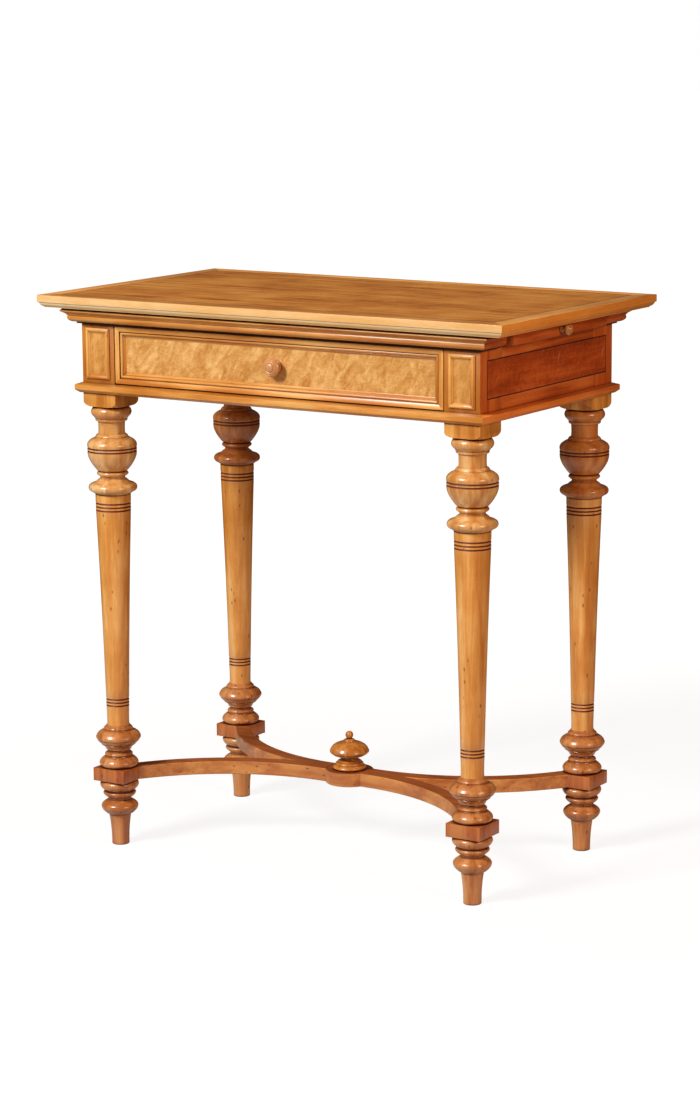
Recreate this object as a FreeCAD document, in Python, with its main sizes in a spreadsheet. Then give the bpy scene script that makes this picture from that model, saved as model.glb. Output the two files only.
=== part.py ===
# A small late nineteenth-century work table: four turned legs, a curved X stretcher with a
# turned finial, a frieze drawer, and a pull-out slide at each end under the moulded top.
# The origin is on the floor under the middle of the table. X runs along the front from left
# to right, Y from the front to the back, and Z up. All lengths are in millimetres.
import FreeCAD, Part
import math
import os

import Sketcher

Vector = FreeCAD.Vector

SIZES = {
    # The whole table
    "table_height": 730.0,
    "case_length": 591.0,
    "case_width": 335.4,
    "seat_gap": 0.3,
    "glue_gap": 0.1,
    "cut_overrun": 60.0,
    # The top: a panel in a mitred, moulded border with a dark line let in along the joint
    "top_thickness": 16.0,
    "top_overhang_ends": 47.2,
    "top_overhang_front": 31.4,
    "border_width": 24.0,
    "border_flat_height": 9.4,
    "border_quirk_depth": 1.5,
    "border_cove_depth": 5.0,
    "border_foot_height": 1.2,
    "tongue_length": 7.0,
    "tongue_thickness": 5.0,
    "tongue_drop": 6.0,
    "line_width": 1.4,
    "line_depth": 1.5,
    # The cornice, in the 20 mm between the frieze and the top, with a black fillet below it
    "cornice_zone_height": 20.5,
    "cornice_projection": 20.4,
    "cornice_arris_drop": 4.0,
    "cornice_bevel_depth": 3.6,
    "cornice_waist_projection": 12.8,
    "cornice_waist_drop": 10.6,
    "cornice_foot_projection": 8.8,
    "cornice_ovolo_bulge": 1.5,
    "fillet_height": 2.5,
    "fillet_projection": 4.5,
    # The frame under the top that carries the slides
    "top_rail_width": 39.7,
    "rail_pin_side": 14.0,
    "rail_pin_height": 12.0,
    "slide_guide_width": 8.5,
    "slide_thickness": 17.9,
    "slide_face_projection": 18.0,
    "slide_lipping_depth": 11.0,
    "slide_lipping_round": 3.0,
    "slide_tongue_length": 6.0,
    "slide_tongue_thickness": 6.0,
    "slide_end_gap": 0.5,
    "slide_side_gap": 0.5,
    "slide_bed_thickness": 8.5,
    "slide_bed_rise": 1.5,
    "slide_divider_width": 8.0,
    "slide_guide_setback": 10.0,
    # The frieze: aprons tenoned between the square heads of the legs
    "frieze_height": 76.2,
    "apron_thickness": 18.0,
    "tenon_length": 14.0,
    "tenon_thickness": 7.0,
    "tenon_shoulder": 13.0,
    "drawer_rail_width": 50.0,
    "drawer_rail_tenon_shoulder": 3.0,
    "base_height": 13.0,
    "base_projection": 7.9,
    "base_bevel_drop": 2.7,
    "base_face_height": 6.4,
    "base_foot_projection": 3.2,
    # Figured veneer panels let into the ends, with a dark line round them
    "veneer_thickness": 1.0,
    "side_panel_inset": 16.4,
    "side_panel_foot": 15.4,
    "side_panel_head": 13.0,
    # Small mitred frame and veneer on the front of each corner post
    "post_frame_inset": 7.0,
    "post_frame_width": 6.6,
    "post_frame_height": 3.2,
    "post_frame_lip": 1.0,
    "post_frame_bevel": 1.0,
    "post_frame_crown_width": 2.6,
    "post_frame_margin": 5.4,
    # The drawer
    "drawer_gap": 0.9,
    "drawer_core_thickness": 13.0,
    "drawer_front_frame_width": 14.8,
    "drawer_front_frame_height": 6.4,
    "drawer_front_frame_flat": 7.0,
    "drawer_front_frame_quirk": 1.4,
    "drawer_front_frame_lip": 1.2,
    "drawer_front_frame_break": 3.0,
    "drawer_side_thickness": 9.0,
    "drawer_side_drop": 14.4,
    "drawer_side_gap": 6.0,
    "drawer_back_clearance": 19.8,
    "drawer_back_thickness": 9.0,
    "drawer_bottom_thickness": 5.0,
    "drawer_bottom_rise": 6.0,
    "drawer_groove_depth": 4.0,
    "drawer_lap": 8.0,
    "runner_height": 13.0,
    "runner_guide_height": 12.0,
    "stop_thickness": 6.0,
    "stop_length": 30.0,
    "stop_height": 4.6,
    # Drawer knob, turned, seen from its axis outwards
    "knob_plate_radius": 8.0,
    "knob_plate_height": 3.0,
    "knob_neck_radius": 5.0,
    "knob_neck_height": 4.4,
    "knob_head_radius": 11.4,
    "knob_head_height": 8.2,
    "knob_head_bevel": 1.4,
    "knob_crown_radius": 6.6,
    "knob_crown_height": 1.4,
    "knob_peg_radius": 4.0,
    "knob_peg_length": 8.0,
    # Slide knobs
    "small_knob_plate_radius": 5.7,
    "small_knob_plate_height": 2.4,
    "small_knob_neck_radius": 3.2,
    "small_knob_neck_height": 7.0,
    "small_knob_head_radius": 7.4,
    "small_knob_head_height": 4.6,
    "small_knob_head_bevel": 0.9,
    "small_knob_crown_radius": 4.4,
    "small_knob_crown_height": 0.9,
    "small_knob_peg_radius": 2.5,
    "small_knob_peg_length": 4.4,
    # Legs: square heads that run up through the frieze as corner posts
    "post_side": 50.5,
    "post_drop": 18.3,
    "post_shoulder_height": 6.0,
    # The turning, from the post downwards to the shaft
    "leg_torus_height": 19.0,
    "leg_torus_radius": 26.2,
    "leg_torus_bevel": 9.4,
    "leg_torus_top_radius": 24.6,
    "leg_torus_top_bevel": 4.0,
    "leg_neck_height": 16.4,
    "leg_neck_radius": 18.3,
    "leg_collar_height": 5.2,
    "leg_collar_radius": 21.7,
    "urn_height": 44.6,
    "urn_radius": 32.6,
    "urn_foot_radius": 20.4,
    "urn_top_radius": 26.0,
    "leg_pearl_height": 9.6,
    "leg_pearl_bevel": 4.4,
    "mushroom_neck_radius": 17.0,
    "mushroom_cap_height": 10.2,
    "mushroom_rim_height": 2.6,
    "mushroom_rim_radius": 32.1,
    "mushroom_foot_height": 7.8,
    "shaft_top_radius": 23.2,
    "shaft_bend": 0.9,
    # The turning, from the floor upwards to the shaft
    "foot_height": 42.0,
    "foot_tip_radius": 12.2,
    "foot_head_radius": 15.2,
    "foot_bend": 0.5,
    "wheel_height": 19.2,
    "wheel_radius": 24.6,
    "wheel_bevel": 5.2,
    "quirk_height": 3.6,
    "quirk_radius": 14.2,
    "pearl_height": 8.0,
    "pearl_radius": 21.2,
    "cushion_height": 15.2,
    "cushion_radius": 25.3,
    "cushion_edge_radius": 22.4,
    "cushion_bevel": 3.5,
    "block_side": 48.8,
    "block_height": 17.5,
    "upper_cushion_height": 8.4,
    "spool_neck_height": 12.4,
    "spool_neck_radius": 15.3,
    "bowl_height": 17.0,
    "bowl_shoulder_height": 7.4,
    "bowl_shoulder_radius": 23.0,
    "rim_height": 2.4,
    "rim_radius": 29.2,
    "dome_height": 16.6,
    "dome_top_radius": 17.4,
    "collar_height": 0.8,
    "shaft_foot_radius": 14.6,
    # The stretcher: four arms sawn to a curve, a round boss and a turned finial
    "arm_width": 22.0,
    "arm_stem_shift": 5.5,
    "arm_corner_shift": 4.7,
    "arm_straight_end": 34.0,
    "boss_radius": 31.5,
    "loose_tenon_length": 24.0,
    "loose_tenon_thickness": 6.0,
    "loose_tenon_height": 11.0,
    "finial_base_radius": 22.0,
    "finial_base_height": 7.0,
    "finial_step_radius": 17.0,
    "finial_step_height": 5.0,
    "finial_neck_radius": 10.6,
    "finial_neck_height": 7.6,
    "finial_cap_lip_radius": 20.6,
    "finial_cap_underside_height": 4.8,
    "finial_cap_radius": 26.4,
    "finial_cap_rim_height": 1.6,
    "finial_cap_shoulder_radius": 20.6,
    "finial_cap_shoulder_height": 7.2,
    "finial_cap_height": 14.6,
    "finial_collar_radius": 7.8,
    "finial_collar_height": 2.2,
    "finial_throat_radius": 4.4,
    "finial_throat_height": 1.4,
    "finial_ball_radius": 6.2,
    "finial_peg_radius": 6.0,
    "finial_peg_length": 12.0,
}

document = FreeCAD.newDocument("work_table")
sheet = document.addObject("Spreadsheet::Sheet", "Sizes")
for row, (size_name, size_value) in enumerate(SIZES.items(), start=1):
    sheet.set("A%d" % row, size_name)
    sheet.set("B%d" % row, str(size_value))
    sheet.setAlias("B%d" % row, size_name)
document.recompute()


class Size:
    """A length that knows its value and how the sheet's cells give it."""

    def __init__(self, value, text):
        self.value = value
        self.text = text

    @staticmethod
    def of(other):
        return other if isinstance(other, Size) else Size(float(other), repr(float(other)))

    def join(self, sign, other, value):
        return Size(value, "(%s %s %s)" % (self.text, sign, other.text))

    def __add__(self, other):
        other = Size.of(other)
        return self.join("+", other, self.value + other.value)

    def __radd__(self, other):
        return Size.of(other) + self

    def __sub__(self, other):
        other = Size.of(other)
        return self.join("-", other, self.value - other.value)

    def __rsub__(self, other):
        return Size.of(other) - self

    def __mul__(self, other):
        other = Size.of(other)
        return self.join("*", other, self.value * other.value)

    def __rmul__(self, other):
        return Size.of(other) * self

    def __truediv__(self, other):
        other = Size.of(other)
        return self.join("/", other, self.value / other.value)

    def __neg__(self):
        return Size(-self.value, "(0 - %s)" % self.text)


class Names:
    """Gives every size of the sheet by its name."""

    def __getattr__(self, name):
        return Size(SIZES[name], "Sizes." + name)


def root(size):
    """The square root of a size."""
    return Size(math.sqrt(size.value), "sqrt(%s)" % size.text)


d = Names()
ZERO = Size(0.0, "0")
SQUARE_HALF_SHARE = math.sqrt(0.5)
ROUND_SHARE = 1 - SQUARE_HALF_SHARE
COVE_MIDDLE_SHARE = 0.62

# The four corners of the table, and the words for the two signs of X and Y
CORNERS = ((-1, -1), (1, -1), (1, 1), (-1, 1))
NAMES = {-1: {"x": "left", "y": "front"}, 1: {"x": "right", "y": "back"}}

# Levels, from the top down
under_top = d.table_height - d.top_thickness
case_top = under_top - d.cornice_zone_height
frieze_foot = case_top - d.frieze_height
case_foot = frieze_foot - d.base_height
post_foot = case_foot - d.post_drop
half_length = d.case_length / 2
half_width = d.case_width / 2
half_post = d.post_side / 2
leg_x = half_length - half_post
leg_y = half_width - half_post
opening_half = half_length - d.post_side
rail_inner = half_width - d.top_rail_width
slide_edge = rail_inner - d.slide_guide_width
slide_half_width = slide_edge - d.slide_side_gap
block_foot = d.foot_height + d.wheel_height + d.quirk_height + d.pearl_height + d.cushion_height
block_top = block_foot + d.block_height

parts = []


def bind(thing, **sizes):
    """Ties properties of an object to sizes of the sheet."""
    for name, size in sizes.items():
        thing.setExpression(name.replace("__", "."), Size.of(size).text)


def place(thing, x, y, z, turn=0, about=Vector(0, 0, 1)):
    """Puts an object at a place that follows the sheet, turned by whole degrees."""
    x, y, z = Size.of(x), Size.of(y), Size.of(z)
    spot = Vector(x.value, y.value, z.value)
    thing.Placement = FreeCAD.Placement(spot, FreeCAD.Rotation(about, turn))
    bind(thing, Placement__Base__x=x, Placement__Base__y=y, Placement__Base__z=z)
    return thing


def keep(thing, label):
    """Marks an object as a finished sub-part with its own name."""
    thing.Label = label
    parts.append(thing)
    return thing


def new_body(label):
    return document.addObject("PartDesign::Body", label)


def plane_of(body, role):
    return [feature for feature in body.Origin.OriginFeatures if feature.Role == role][0]


def outline(body, role, start, *moves):
    """Draws a closed outline: (x, y) is a straight line, (mid x, mid y, x, y) an arc."""
    sketch = body.newObject("Sketcher::SketchObject", body.Name + "_outline")
    sketch.AttachmentSupport = [(plane_of(body, role), "")]
    sketch.MapMode = "FlatFace"
    corners = [start] + [move[-2:] for move in moves]
    points = [Vector(Size.of(x).value, Size.of(y).value, 0) for x, y in corners]
    runs = list(moves) + [start]
    middles = {}
    for index, move in enumerate(runs):
        here = points[index]
        there = points[(index + 1) % len(points)]
        if len(move) == 4:
            middle = Vector(Size.of(move[0]).value, Size.of(move[1]).value, 0)
            forwards = (middle - here).cross(there - middle).z > 0
            low, high = (here, there) if forwards else (there, here)
            sketch.addGeometry(Part.Arc(low, middle, high), False)
            middles[index] = (move, forwards)
        else:
            sketch.addGeometry(Part.LineSegment(here, there), False)
            middles[index] = (None, True)
    for index in range(len(runs)):
        after = (index + 1) % len(runs)
        end = 2 if middles[index][1] else 1
        begin = 1 if middles[after][1] else 2
        sketch.addConstraint(Sketcher.Constraint("Coincident", index, end, after, begin))
    for index, (x, y) in enumerate(corners):
        begin = 1 if middles[index][1] else 2
        pin_point(sketch, index, begin, x, y)
    for index, (move, forwards) in middles.items():
        if move:
            middle = Vector(Size.of(move[0]).value, Size.of(move[1]).value, 0)
            point = sketch.addGeometry(Part.Point(middle), True)
            pin_point(sketch, point, 1, move[0], move[1])
            sketch.addConstraint(Sketcher.Constraint("PointOnObject", point, 1, index))
    return sketch


def pin_point(sketch, geometry, end, x, y):
    """Holds one point of a sketch at sizes of the sheet, measured from the origin."""
    for kind, size in (("DistanceX", Size.of(x)), ("DistanceY", Size.of(y))):
        number = sketch.addConstraint(
            Sketcher.Constraint(kind, -1, 1, geometry, end, size.value)
        )
        sketch.setExpression("Constraints[%d]" % number, size.text)


def turned(body, start, *moves):
    """Turns an outline of radii and heights round the body's own Z axis."""
    sketch = outline(body, "XZ_Plane", start, *moves)
    turning = body.newObject("PartDesign::Revolution", body.Name + "_turning")
    turning.Profile = sketch
    turning.ReferenceAxis = (sketch, ["V_Axis"])
    turning.Angle = 360
    return turning


def padded(body, role, length, start, *moves):
    """Pads an outline equally to both sides of an origin plane."""
    sketch = outline(body, role, start, *moves)
    pad = body.newObject("PartDesign::Pad", body.Name + "_pad")
    pad.Profile = sketch
    pad.SideType = "Symmetric"
    bind(pad, Length=length)
    return pad


def block(body, kind, x, y, z):
    """Adds a block to a body, or cuts one from it, between pairs of sizes."""
    box = body.newObject("PartDesign::%sBox" % kind, body.Name + "_" + kind)
    (x0, x1), (y0, y1), (z0, z1) = x, y, z
    bind(box, Length=Size.of(x1) - x0, Width=Size.of(y1) - y0, Height=Size.of(z1) - z0)
    place(box, x0, y0, z0)
    return box


def both(size):
    """The pair of sizes that lie equally far to both sides of zero."""
    return (-Size.of(size), Size.of(size))


def bar(label, length, low_end, high_end, start, *moves):
    """A moulding along X: its outline in Y and Z, with each end mitred or cut square.

    A mitred end slopes through the end of the length at Y = 0.
    """
    body = new_body(label)
    padded(body, "YZ_Plane", length + 2 * d.cut_overrun, start, *moves)
    reach = 2 * d.cut_overrun
    slant = reach * SQUARE_HALF_SHARE
    for side, end in ((-1, low_end), (1, high_end)):
        cut = body.newObject("PartDesign::SubtractiveBox", label + "_end")
        if end == "mitre":
            bind(cut, Length=2 * reach, Width=reach, Height=2 * reach)
            place(cut, side * length / 2 - slant, side * slant, -reach, -45 * side)
        else:
            bind(cut, Length=reach, Width=2 * reach, Height=2 * reach)
            start_x = length / 2 if side > 0 else -(length / 2) - reach
            place(cut, start_x, -reach, -reach)
    return body


def group(label, things):
    """Several separate pieces of one kind kept under one name."""
    compound = document.addObject("Part::Compound", label)
    compound.Links = things
    return keep(compound, label)


# Turns about Z that carry a moulding from the front to each side of the table
SIDES = {"front": 0, "right": 90, "back": 180, "left": 270}


def side_place(thing, side, out_x, out_y, z):
    """Puts a moulding that was drawn for the front on one side of a rectangle."""
    x = {"front": ZERO, "back": ZERO, "left": -out_x, "right": out_x}[side]
    y = {"left": ZERO, "right": ZERO, "front": -out_y, "back": out_y}[side]
    return place(thing, x, y, z, SIDES[side])


def side_length(side, out_x, out_y):
    return 2 * out_x if side in ("front", "back") else 2 * out_y


# The top
top_half_length = half_length + d.top_overhang_ends
top_half_width = half_width + d.top_overhang_front
field_half_length = top_half_length - d.border_width
field_half_width = top_half_width - d.border_width


def top_panel():
    """The field of the top, with a tongue round its edge and a rebate for the dark line."""
    body = new_body("top_panel")
    rebate_floor = d.top_thickness - d.line_depth
    block(body, "Additive", both(field_half_length), both(field_half_width), (ZERO, rebate_floor))
    block(
        body,
        "Additive",
        both(field_half_length - d.line_width / 2),
        both(field_half_width - d.line_width / 2),
        (rebate_floor, d.top_thickness),
    )
    tongue_top = d.top_thickness - d.tongue_drop
    block(
        body,
        "Additive",
        both(field_half_length + d.tongue_length),
        both(field_half_width + d.tongue_length),
        (tongue_top - d.tongue_thickness, tongue_top),
    )
    place(body, ZERO, ZERO, under_top)
    return keep(body, "top_panel")


def top_border(side):
    """One mitred border moulding: flat edge, quirk and cove, grooved for the panel."""
    length = side_length(side, top_half_length, top_half_width)
    groove_top = d.top_thickness - d.tongue_drop + d.glue_gap
    groove_foot = groove_top - d.tongue_thickness - 2 * d.glue_gap
    groove_end = d.border_width - d.tongue_length - d.seat_gap
    edge_foot = d.top_thickness - d.border_flat_height
    cove_end = d.border_quirk_depth + d.border_cove_depth
    cove_mid_y = d.border_quirk_depth + d.border_cove_depth * COVE_MIDDLE_SHARE
    cove_rise = edge_foot - d.border_foot_height
    cove_mid_z = d.border_foot_height + cove_rise * COVE_MIDDLE_SHARE
    body = bar(
        "top_border_" + side,
        length,
        "mitre",
        "mitre",
        (cove_end, ZERO),
        (d.border_width, ZERO),
        (d.border_width, groove_foot),
        (groove_end, groove_foot),
        (groove_end, groove_top),
        (d.border_width, groove_top),
        (d.border_width, d.top_thickness - d.line_depth),
        (d.border_width - d.line_width / 2, d.top_thickness - d.line_depth),
        (d.border_width - d.line_width / 2, d.top_thickness),
        (ZERO, d.top_thickness),
        (ZERO, edge_foot),
        (d.border_quirk_depth, edge_foot),
        (cove_mid_y, cove_mid_z, cove_end, d.border_foot_height),
    )
    side_place(body, side, top_half_length, top_half_width, under_top)
    return keep(body, "top_border_" + side)


def top_stringing():
    """The dark line let in along the joint between panel and border, a ring one line wide."""
    body = new_body("top_stringing")
    outer_x = field_half_length + d.line_width / 2
    outer_y = field_half_width + d.line_width / 2
    inner_x, inner_y = outer_x - d.line_width, outer_y - d.line_width
    block(body, "Additive", both(outer_x), both(outer_y), (ZERO, d.line_depth))
    block(body, "Subtractive", both(inner_x), both(inner_y), both(2 * d.line_depth))
    place(body, ZERO, ZERO, d.table_height - d.line_depth)
    return keep(body, "top_stringing")


# The cornice and the black fillet under it
def cornice_outline():
    """Underside, ovolo, raked face, arris and the bevel that meets the top."""
    zone = d.cornice_zone_height - d.fillet_height
    waist_z = zone - d.cornice_waist_drop
    arris_z = zone - d.cornice_arris_drop
    mid_y = (d.cornice_foot_projection + d.cornice_waist_projection) / 2 + d.cornice_ovolo_bulge
    return (
        (ZERO, ZERO),
        (ZERO, zone),
        (d.cornice_bevel_depth - d.cornice_projection, zone),
        (-d.cornice_projection, arris_z),
        (-d.cornice_waist_projection, waist_z),
        (-mid_y, waist_z / 2, -d.cornice_foot_projection, ZERO),
    )


def fillet_outline():
    return (
        (ZERO, ZERO),
        (ZERO, d.fillet_height),
        (-d.fillet_projection, d.fillet_height),
        (-d.fillet_projection, ZERO),
    )


def returned_moulding(name, profile, z):
    """The four short returns of a moulding that stops at the slides, by their side."""
    returns = {}
    length = half_width - rail_inner
    middle = (half_width + rail_inner) / 2
    for sx, sy in CORNERS:
        side = "right" if sx > 0 else "left"
        mitre_low = sx * sy < 0
        ends = ("mitre", "square") if mitre_low else ("square", "mitre")
        body = bar("%s_return_%s_%s" % (name, sy, side), length, *ends, *profile)
        place(body, sx * half_length, sy * middle, z, SIDES[side])
        returns[(sx, sy)] = body
    return returns


def cornice():
    profile = cornice_outline()
    foot = case_top + d.fillet_height
    for side in ("front", "back"):
        body = bar("cornice_" + side, 2 * half_length, "mitre", "mitre", *profile)
        side_place(body, side, half_length, half_width, foot)
        keep(body, "cornice_" + side)
    returns = returned_moulding("cornice", profile, foot)
    for sx in (-1, 1):
        group("cornice_returns_" + NAMES[sx]["x"], [returns[(sx, -1)], returns[(sx, 1)]])


def ebony_fillet():
    """The black strip under the cornice, in six mitred lengths."""
    profile = fillet_outline()
    strips = []
    for side in ("front", "back"):
        body = bar("fillet_" + side, 2 * half_length, "mitre", "mitre", *profile)
        strips.append(side_place(body, side, half_length, half_width, case_top))
    strips.extend(returned_moulding("fillet", profile, case_top).values())
    return group("ebony_fillet", strips)


# The frame that carries the top and the slides
def top_rail(sy):
    """A rail across the heads of two legs, mortised for their pins."""
    name = "top_rail_" + NAMES[sy]["y"]
    body = new_body(name)
    zone = (ZERO, d.cornice_zone_height)
    block(body, "Additive", both(half_length), both(d.top_rail_width / 2), zone)
    centre_y = half_width - d.top_rail_width / 2
    for sx in (-1, 1):
        pin_x = sx * leg_x
        pin_y = sy * (leg_y - centre_y)
        half = d.rail_pin_side / 2 + d.glue_gap
        hole_x = (pin_x - half, pin_x + half)
        hole_y = (pin_y - half, pin_y + half)
        block(body, "Subtractive", hole_x, hole_y, (ZERO, d.rail_pin_height + d.seat_gap))
    place(body, ZERO, sy * centre_y, case_top)
    return keep(body, name)


slide_bed_top = case_top + d.slide_bed_rise
slide_foot = slide_bed_top + d.seat_gap
apron_inner_x = half_length - d.apron_thickness


def slide_bed():
    """The thin board that both slides run on and that closes the drawer space."""
    body = new_body("slide_bed")
    half_x = apron_inner_x - d.seat_gap
    half_y = rail_inner - d.seat_gap
    block(body, "Additive", both(half_x), both(half_y), (-d.slide_bed_thickness, ZERO))
    notch_x = opening_half - d.seat_gap
    notch_y = half_width - d.post_side - d.seat_gap
    for sx, sy in CORNERS:
        x = (notch_x, half_x + d.cut_overrun) if sx > 0 else (-half_x - d.cut_overrun, -notch_x)
        y = (notch_y, half_y + d.cut_overrun) if sy > 0 else (-half_y - d.cut_overrun, -notch_y)
        block(body, "Subtractive", x, y, both(d.cut_overrun))
    place(body, ZERO, ZERO, slide_bed_top)
    return keep(body, "slide_bed")


def slide_guides():
    """Strips along both rails that the edges of the slides run against."""
    strips = []
    for sy in (-1, 1):
        strip = document.addObject("Part::Box", "slide_guide")
        x = half_length - d.slide_guide_setback
        bind(strip, Length=2 * x, Width=d.slide_guide_width, Height=under_top - slide_bed_top)
        place(strip, -x, slide_edge if sy > 0 else -rail_inner, slide_bed_top)
        strips.append(strip)
    return group("slide_guides", strips)


def slide_divider():
    """The cross bar that both slides stop against."""
    body = document.addObject("Part::Box", "slide_divider")
    height = under_top - slide_bed_top
    bind(body, Length=d.slide_divider_width, Width=2 * slide_edge, Height=height)
    place(body, -d.slide_divider_width / 2, -slide_edge, slide_bed_top)
    return keep(body, "slide_divider")


slide_face_x = half_length + d.slide_face_projection
slide_inner_x = d.slide_divider_width / 2 + d.slide_end_gap
lipping_inner_x = slide_face_x - d.slide_lipping_depth
slide_half_height = d.slide_thickness / 2


def slide_board(sx):
    """The board of a slide, with a tongue along its outer end for the lipping."""
    name = "slide_board_" + NAMES[sx]["x"]
    body = new_body(name)
    tongue = (
        slide_half_height - d.slide_tongue_thickness / 2,
        slide_half_height + d.slide_tongue_thickness / 2,
    )
    half = both(slide_half_width)
    block(body, "Additive", (slide_inner_x, lipping_inner_x), half, (ZERO, d.slide_thickness))
    block(body, "Additive", (lipping_inner_x, lipping_inner_x + d.slide_tongue_length), half, tongue)
    place(body, ZERO, ZERO, slide_foot, 0 if sx > 0 else 180)
    return keep(body, name)


def slide_lipping(sx):
    """The moulded front of a slide: a strip across the grain with its lower edge rounded."""
    name = "slide_lipping_" + NAMES[sx]["x"]
    body = new_body(name)
    depth = d.slide_lipping_depth
    groove = d.slide_tongue_length + d.glue_gap
    groove_foot = slide_half_height - d.slide_tongue_thickness / 2 - d.glue_gap
    groove_top = slide_half_height + d.slide_tongue_thickness / 2 + d.glue_gap
    padded(
        body,
        "XZ_Plane",
        2 * slide_half_width,
        (ZERO, ZERO),
        (depth - d.slide_lipping_round, ZERO),
        (
            depth - d.slide_lipping_round * ROUND_SHARE,
            d.slide_lipping_round * ROUND_SHARE,
            depth,
            d.slide_lipping_round,
        ),
        (depth, d.slide_thickness),
        (ZERO, d.slide_thickness),
        (ZERO, groove_top),
        (groove, groove_top),
        (groove, groove_foot),
        (ZERO, groove_foot),
    )
    hole = body.newObject("PartDesign::SubtractiveCylinder", name + "_hole")
    hole_reach = d.slide_lipping_depth
    bind(hole, Radius=d.small_knob_peg_radius + d.glue_gap, Height=2 * hole_reach)
    place(hole, ZERO, ZERO, slide_half_height, 90, Vector(0, 1, 0))
    place(body, sx * lipping_inner_x, ZERO, slide_foot, 0 if sx > 0 else 180)
    return keep(body, name)


def knob_outline(name):
    """Peg, plate, neck, a head with bevelled edges, and a low crown on it."""

    def part(size):
        return getattr(d, name + "_" + size)

    neck_foot = part("plate_height")
    head_foot = neck_foot + part("neck_height")
    head_top = head_foot + part("head_height")
    bevel = part("head_bevel")
    return (
        (ZERO, -part("peg_length")),
        (part("peg_radius"), -part("peg_length")),
        (part("peg_radius"), ZERO),
        (part("plate_radius"), ZERO),
        (part("plate_radius"), neck_foot),
        (part("neck_radius"), neck_foot),
        (part("neck_radius"), head_foot),
        (part("head_radius"), head_foot),
        (part("head_radius"), head_top - bevel),
        (part("head_radius") - bevel, head_top),
        (part("crown_radius"), head_top),
        (part("crown_radius"), head_top + part("crown_height")),
        (ZERO, head_top + part("crown_height")),
    )


def slide_knob(sx):
    """A small turned knob, pegged into the middle of the lipping."""
    name = "slide_knob_" + NAMES[sx]["x"]
    body = new_body(name)
    turned(body, *knob_outline("small_knob"))
    height = slide_foot + slide_half_height
    place(body, sx * slide_face_x, ZERO, height, 90 * sx, Vector(0, 1, 0))
    return keep(body, name)


# The frieze
apron_height = d.frieze_height + d.base_height
apron_centre = half_length - d.apron_thickness / 2
tenon_foot = d.tenon_shoulder
tenon_top = apron_height - d.tenon_shoulder
side_panel_foot_z = d.base_height + d.side_panel_foot
side_panel_height = d.frieze_height - d.side_panel_foot - d.side_panel_head


def apron_side(sx):
    """An end apron, tenoned into two legs, with a sinking for the veneer panel outside."""
    name = "apron_" + NAMES[sx]["x"]
    body = new_body(name)
    half_t = d.apron_thickness / 2
    shoulder = half_width - d.post_side
    block(body, "Additive", both(half_t), both(shoulder), (ZERO, apron_height))
    reach = shoulder + d.tenon_length
    block(body, "Additive", both(d.tenon_thickness / 2), both(reach), (tenon_foot, tenon_top))
    sunk = (half_t - d.veneer_thickness, half_t + d.cut_overrun)
    faces = sunk if sx > 0 else (-sunk[1], -sunk[0])
    panel = (side_panel_foot_z, side_panel_foot_z + side_panel_height)
    block(body, "Subtractive", faces, both(shoulder + d.cut_overrun), panel)
    place(body, sx * apron_centre, ZERO, case_foot)
    return keep(body, name)


def apron_back():
    """The back apron, tenoned into the two back legs."""
    body = new_body("apron_back")
    half_t = d.apron_thickness / 2
    block(body, "Additive", both(opening_half), both(half_t), (ZERO, apron_height))
    reach = opening_half + d.tenon_length
    block(body, "Additive", both(reach), both(d.tenon_thickness / 2), (tenon_foot, tenon_top))
    place(body, ZERO, half_width - half_t, case_foot)
    return keep(body, "apron_back")


rail_tenon_foot = d.drawer_rail_tenon_shoulder
rail_tenon_top = d.base_height - d.drawer_rail_tenon_shoulder
rail_tenon_half = d.drawer_rail_width / 2 - 2 * d.drawer_rail_tenon_shoulder


def drawer_rail():
    """The rail under the drawer, tenoned into the two front legs."""
    body = new_body("drawer_rail")
    half_w = d.drawer_rail_width / 2
    block(body, "Additive", both(opening_half), both(half_w), (ZERO, d.base_height))
    reach = opening_half + d.tenon_length
    block(body, "Additive", both(reach), both(rail_tenon_half), (rail_tenon_foot, rail_tenon_top))
    place(body, ZERO, half_w - half_width, case_foot)
    return keep(body, "drawer_rail")


def base_moulding(side):
    """The bevelled strip planted round the foot of the frieze."""
    face_top = d.base_height - d.base_bevel_drop
    face_foot = face_top - d.base_face_height
    body = bar(
        "base_moulding_" + side,
        side_length(side, half_length, half_width),
        "mitre",
        "mitre",
        (ZERO, ZERO),
        (ZERO, d.base_height),
        (-d.base_projection, face_top),
        (-d.base_projection, face_foot),
        (-d.base_foot_projection, ZERO),
    )
    side_place(body, side, half_length, half_width, case_foot)
    return keep(body, "base_moulding_" + side)


panel_half = half_width - d.side_panel_inset
panel_foot = case_foot + side_panel_foot_z


def side_panel(sx):
    """The figured veneer of one end, inside its dark line."""
    name = "side_panel_" + NAMES[sx]["x"]
    body = document.addObject("Part::Box", name)
    half = panel_half - d.line_width
    height = side_panel_height - 2 * d.line_width
    bind(body, Length=d.veneer_thickness, Width=2 * half, Height=height)
    x = half_length - d.veneer_thickness if sx > 0 else -half_length
    place(body, x, -half, panel_foot + d.line_width)
    return keep(body, name)


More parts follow.
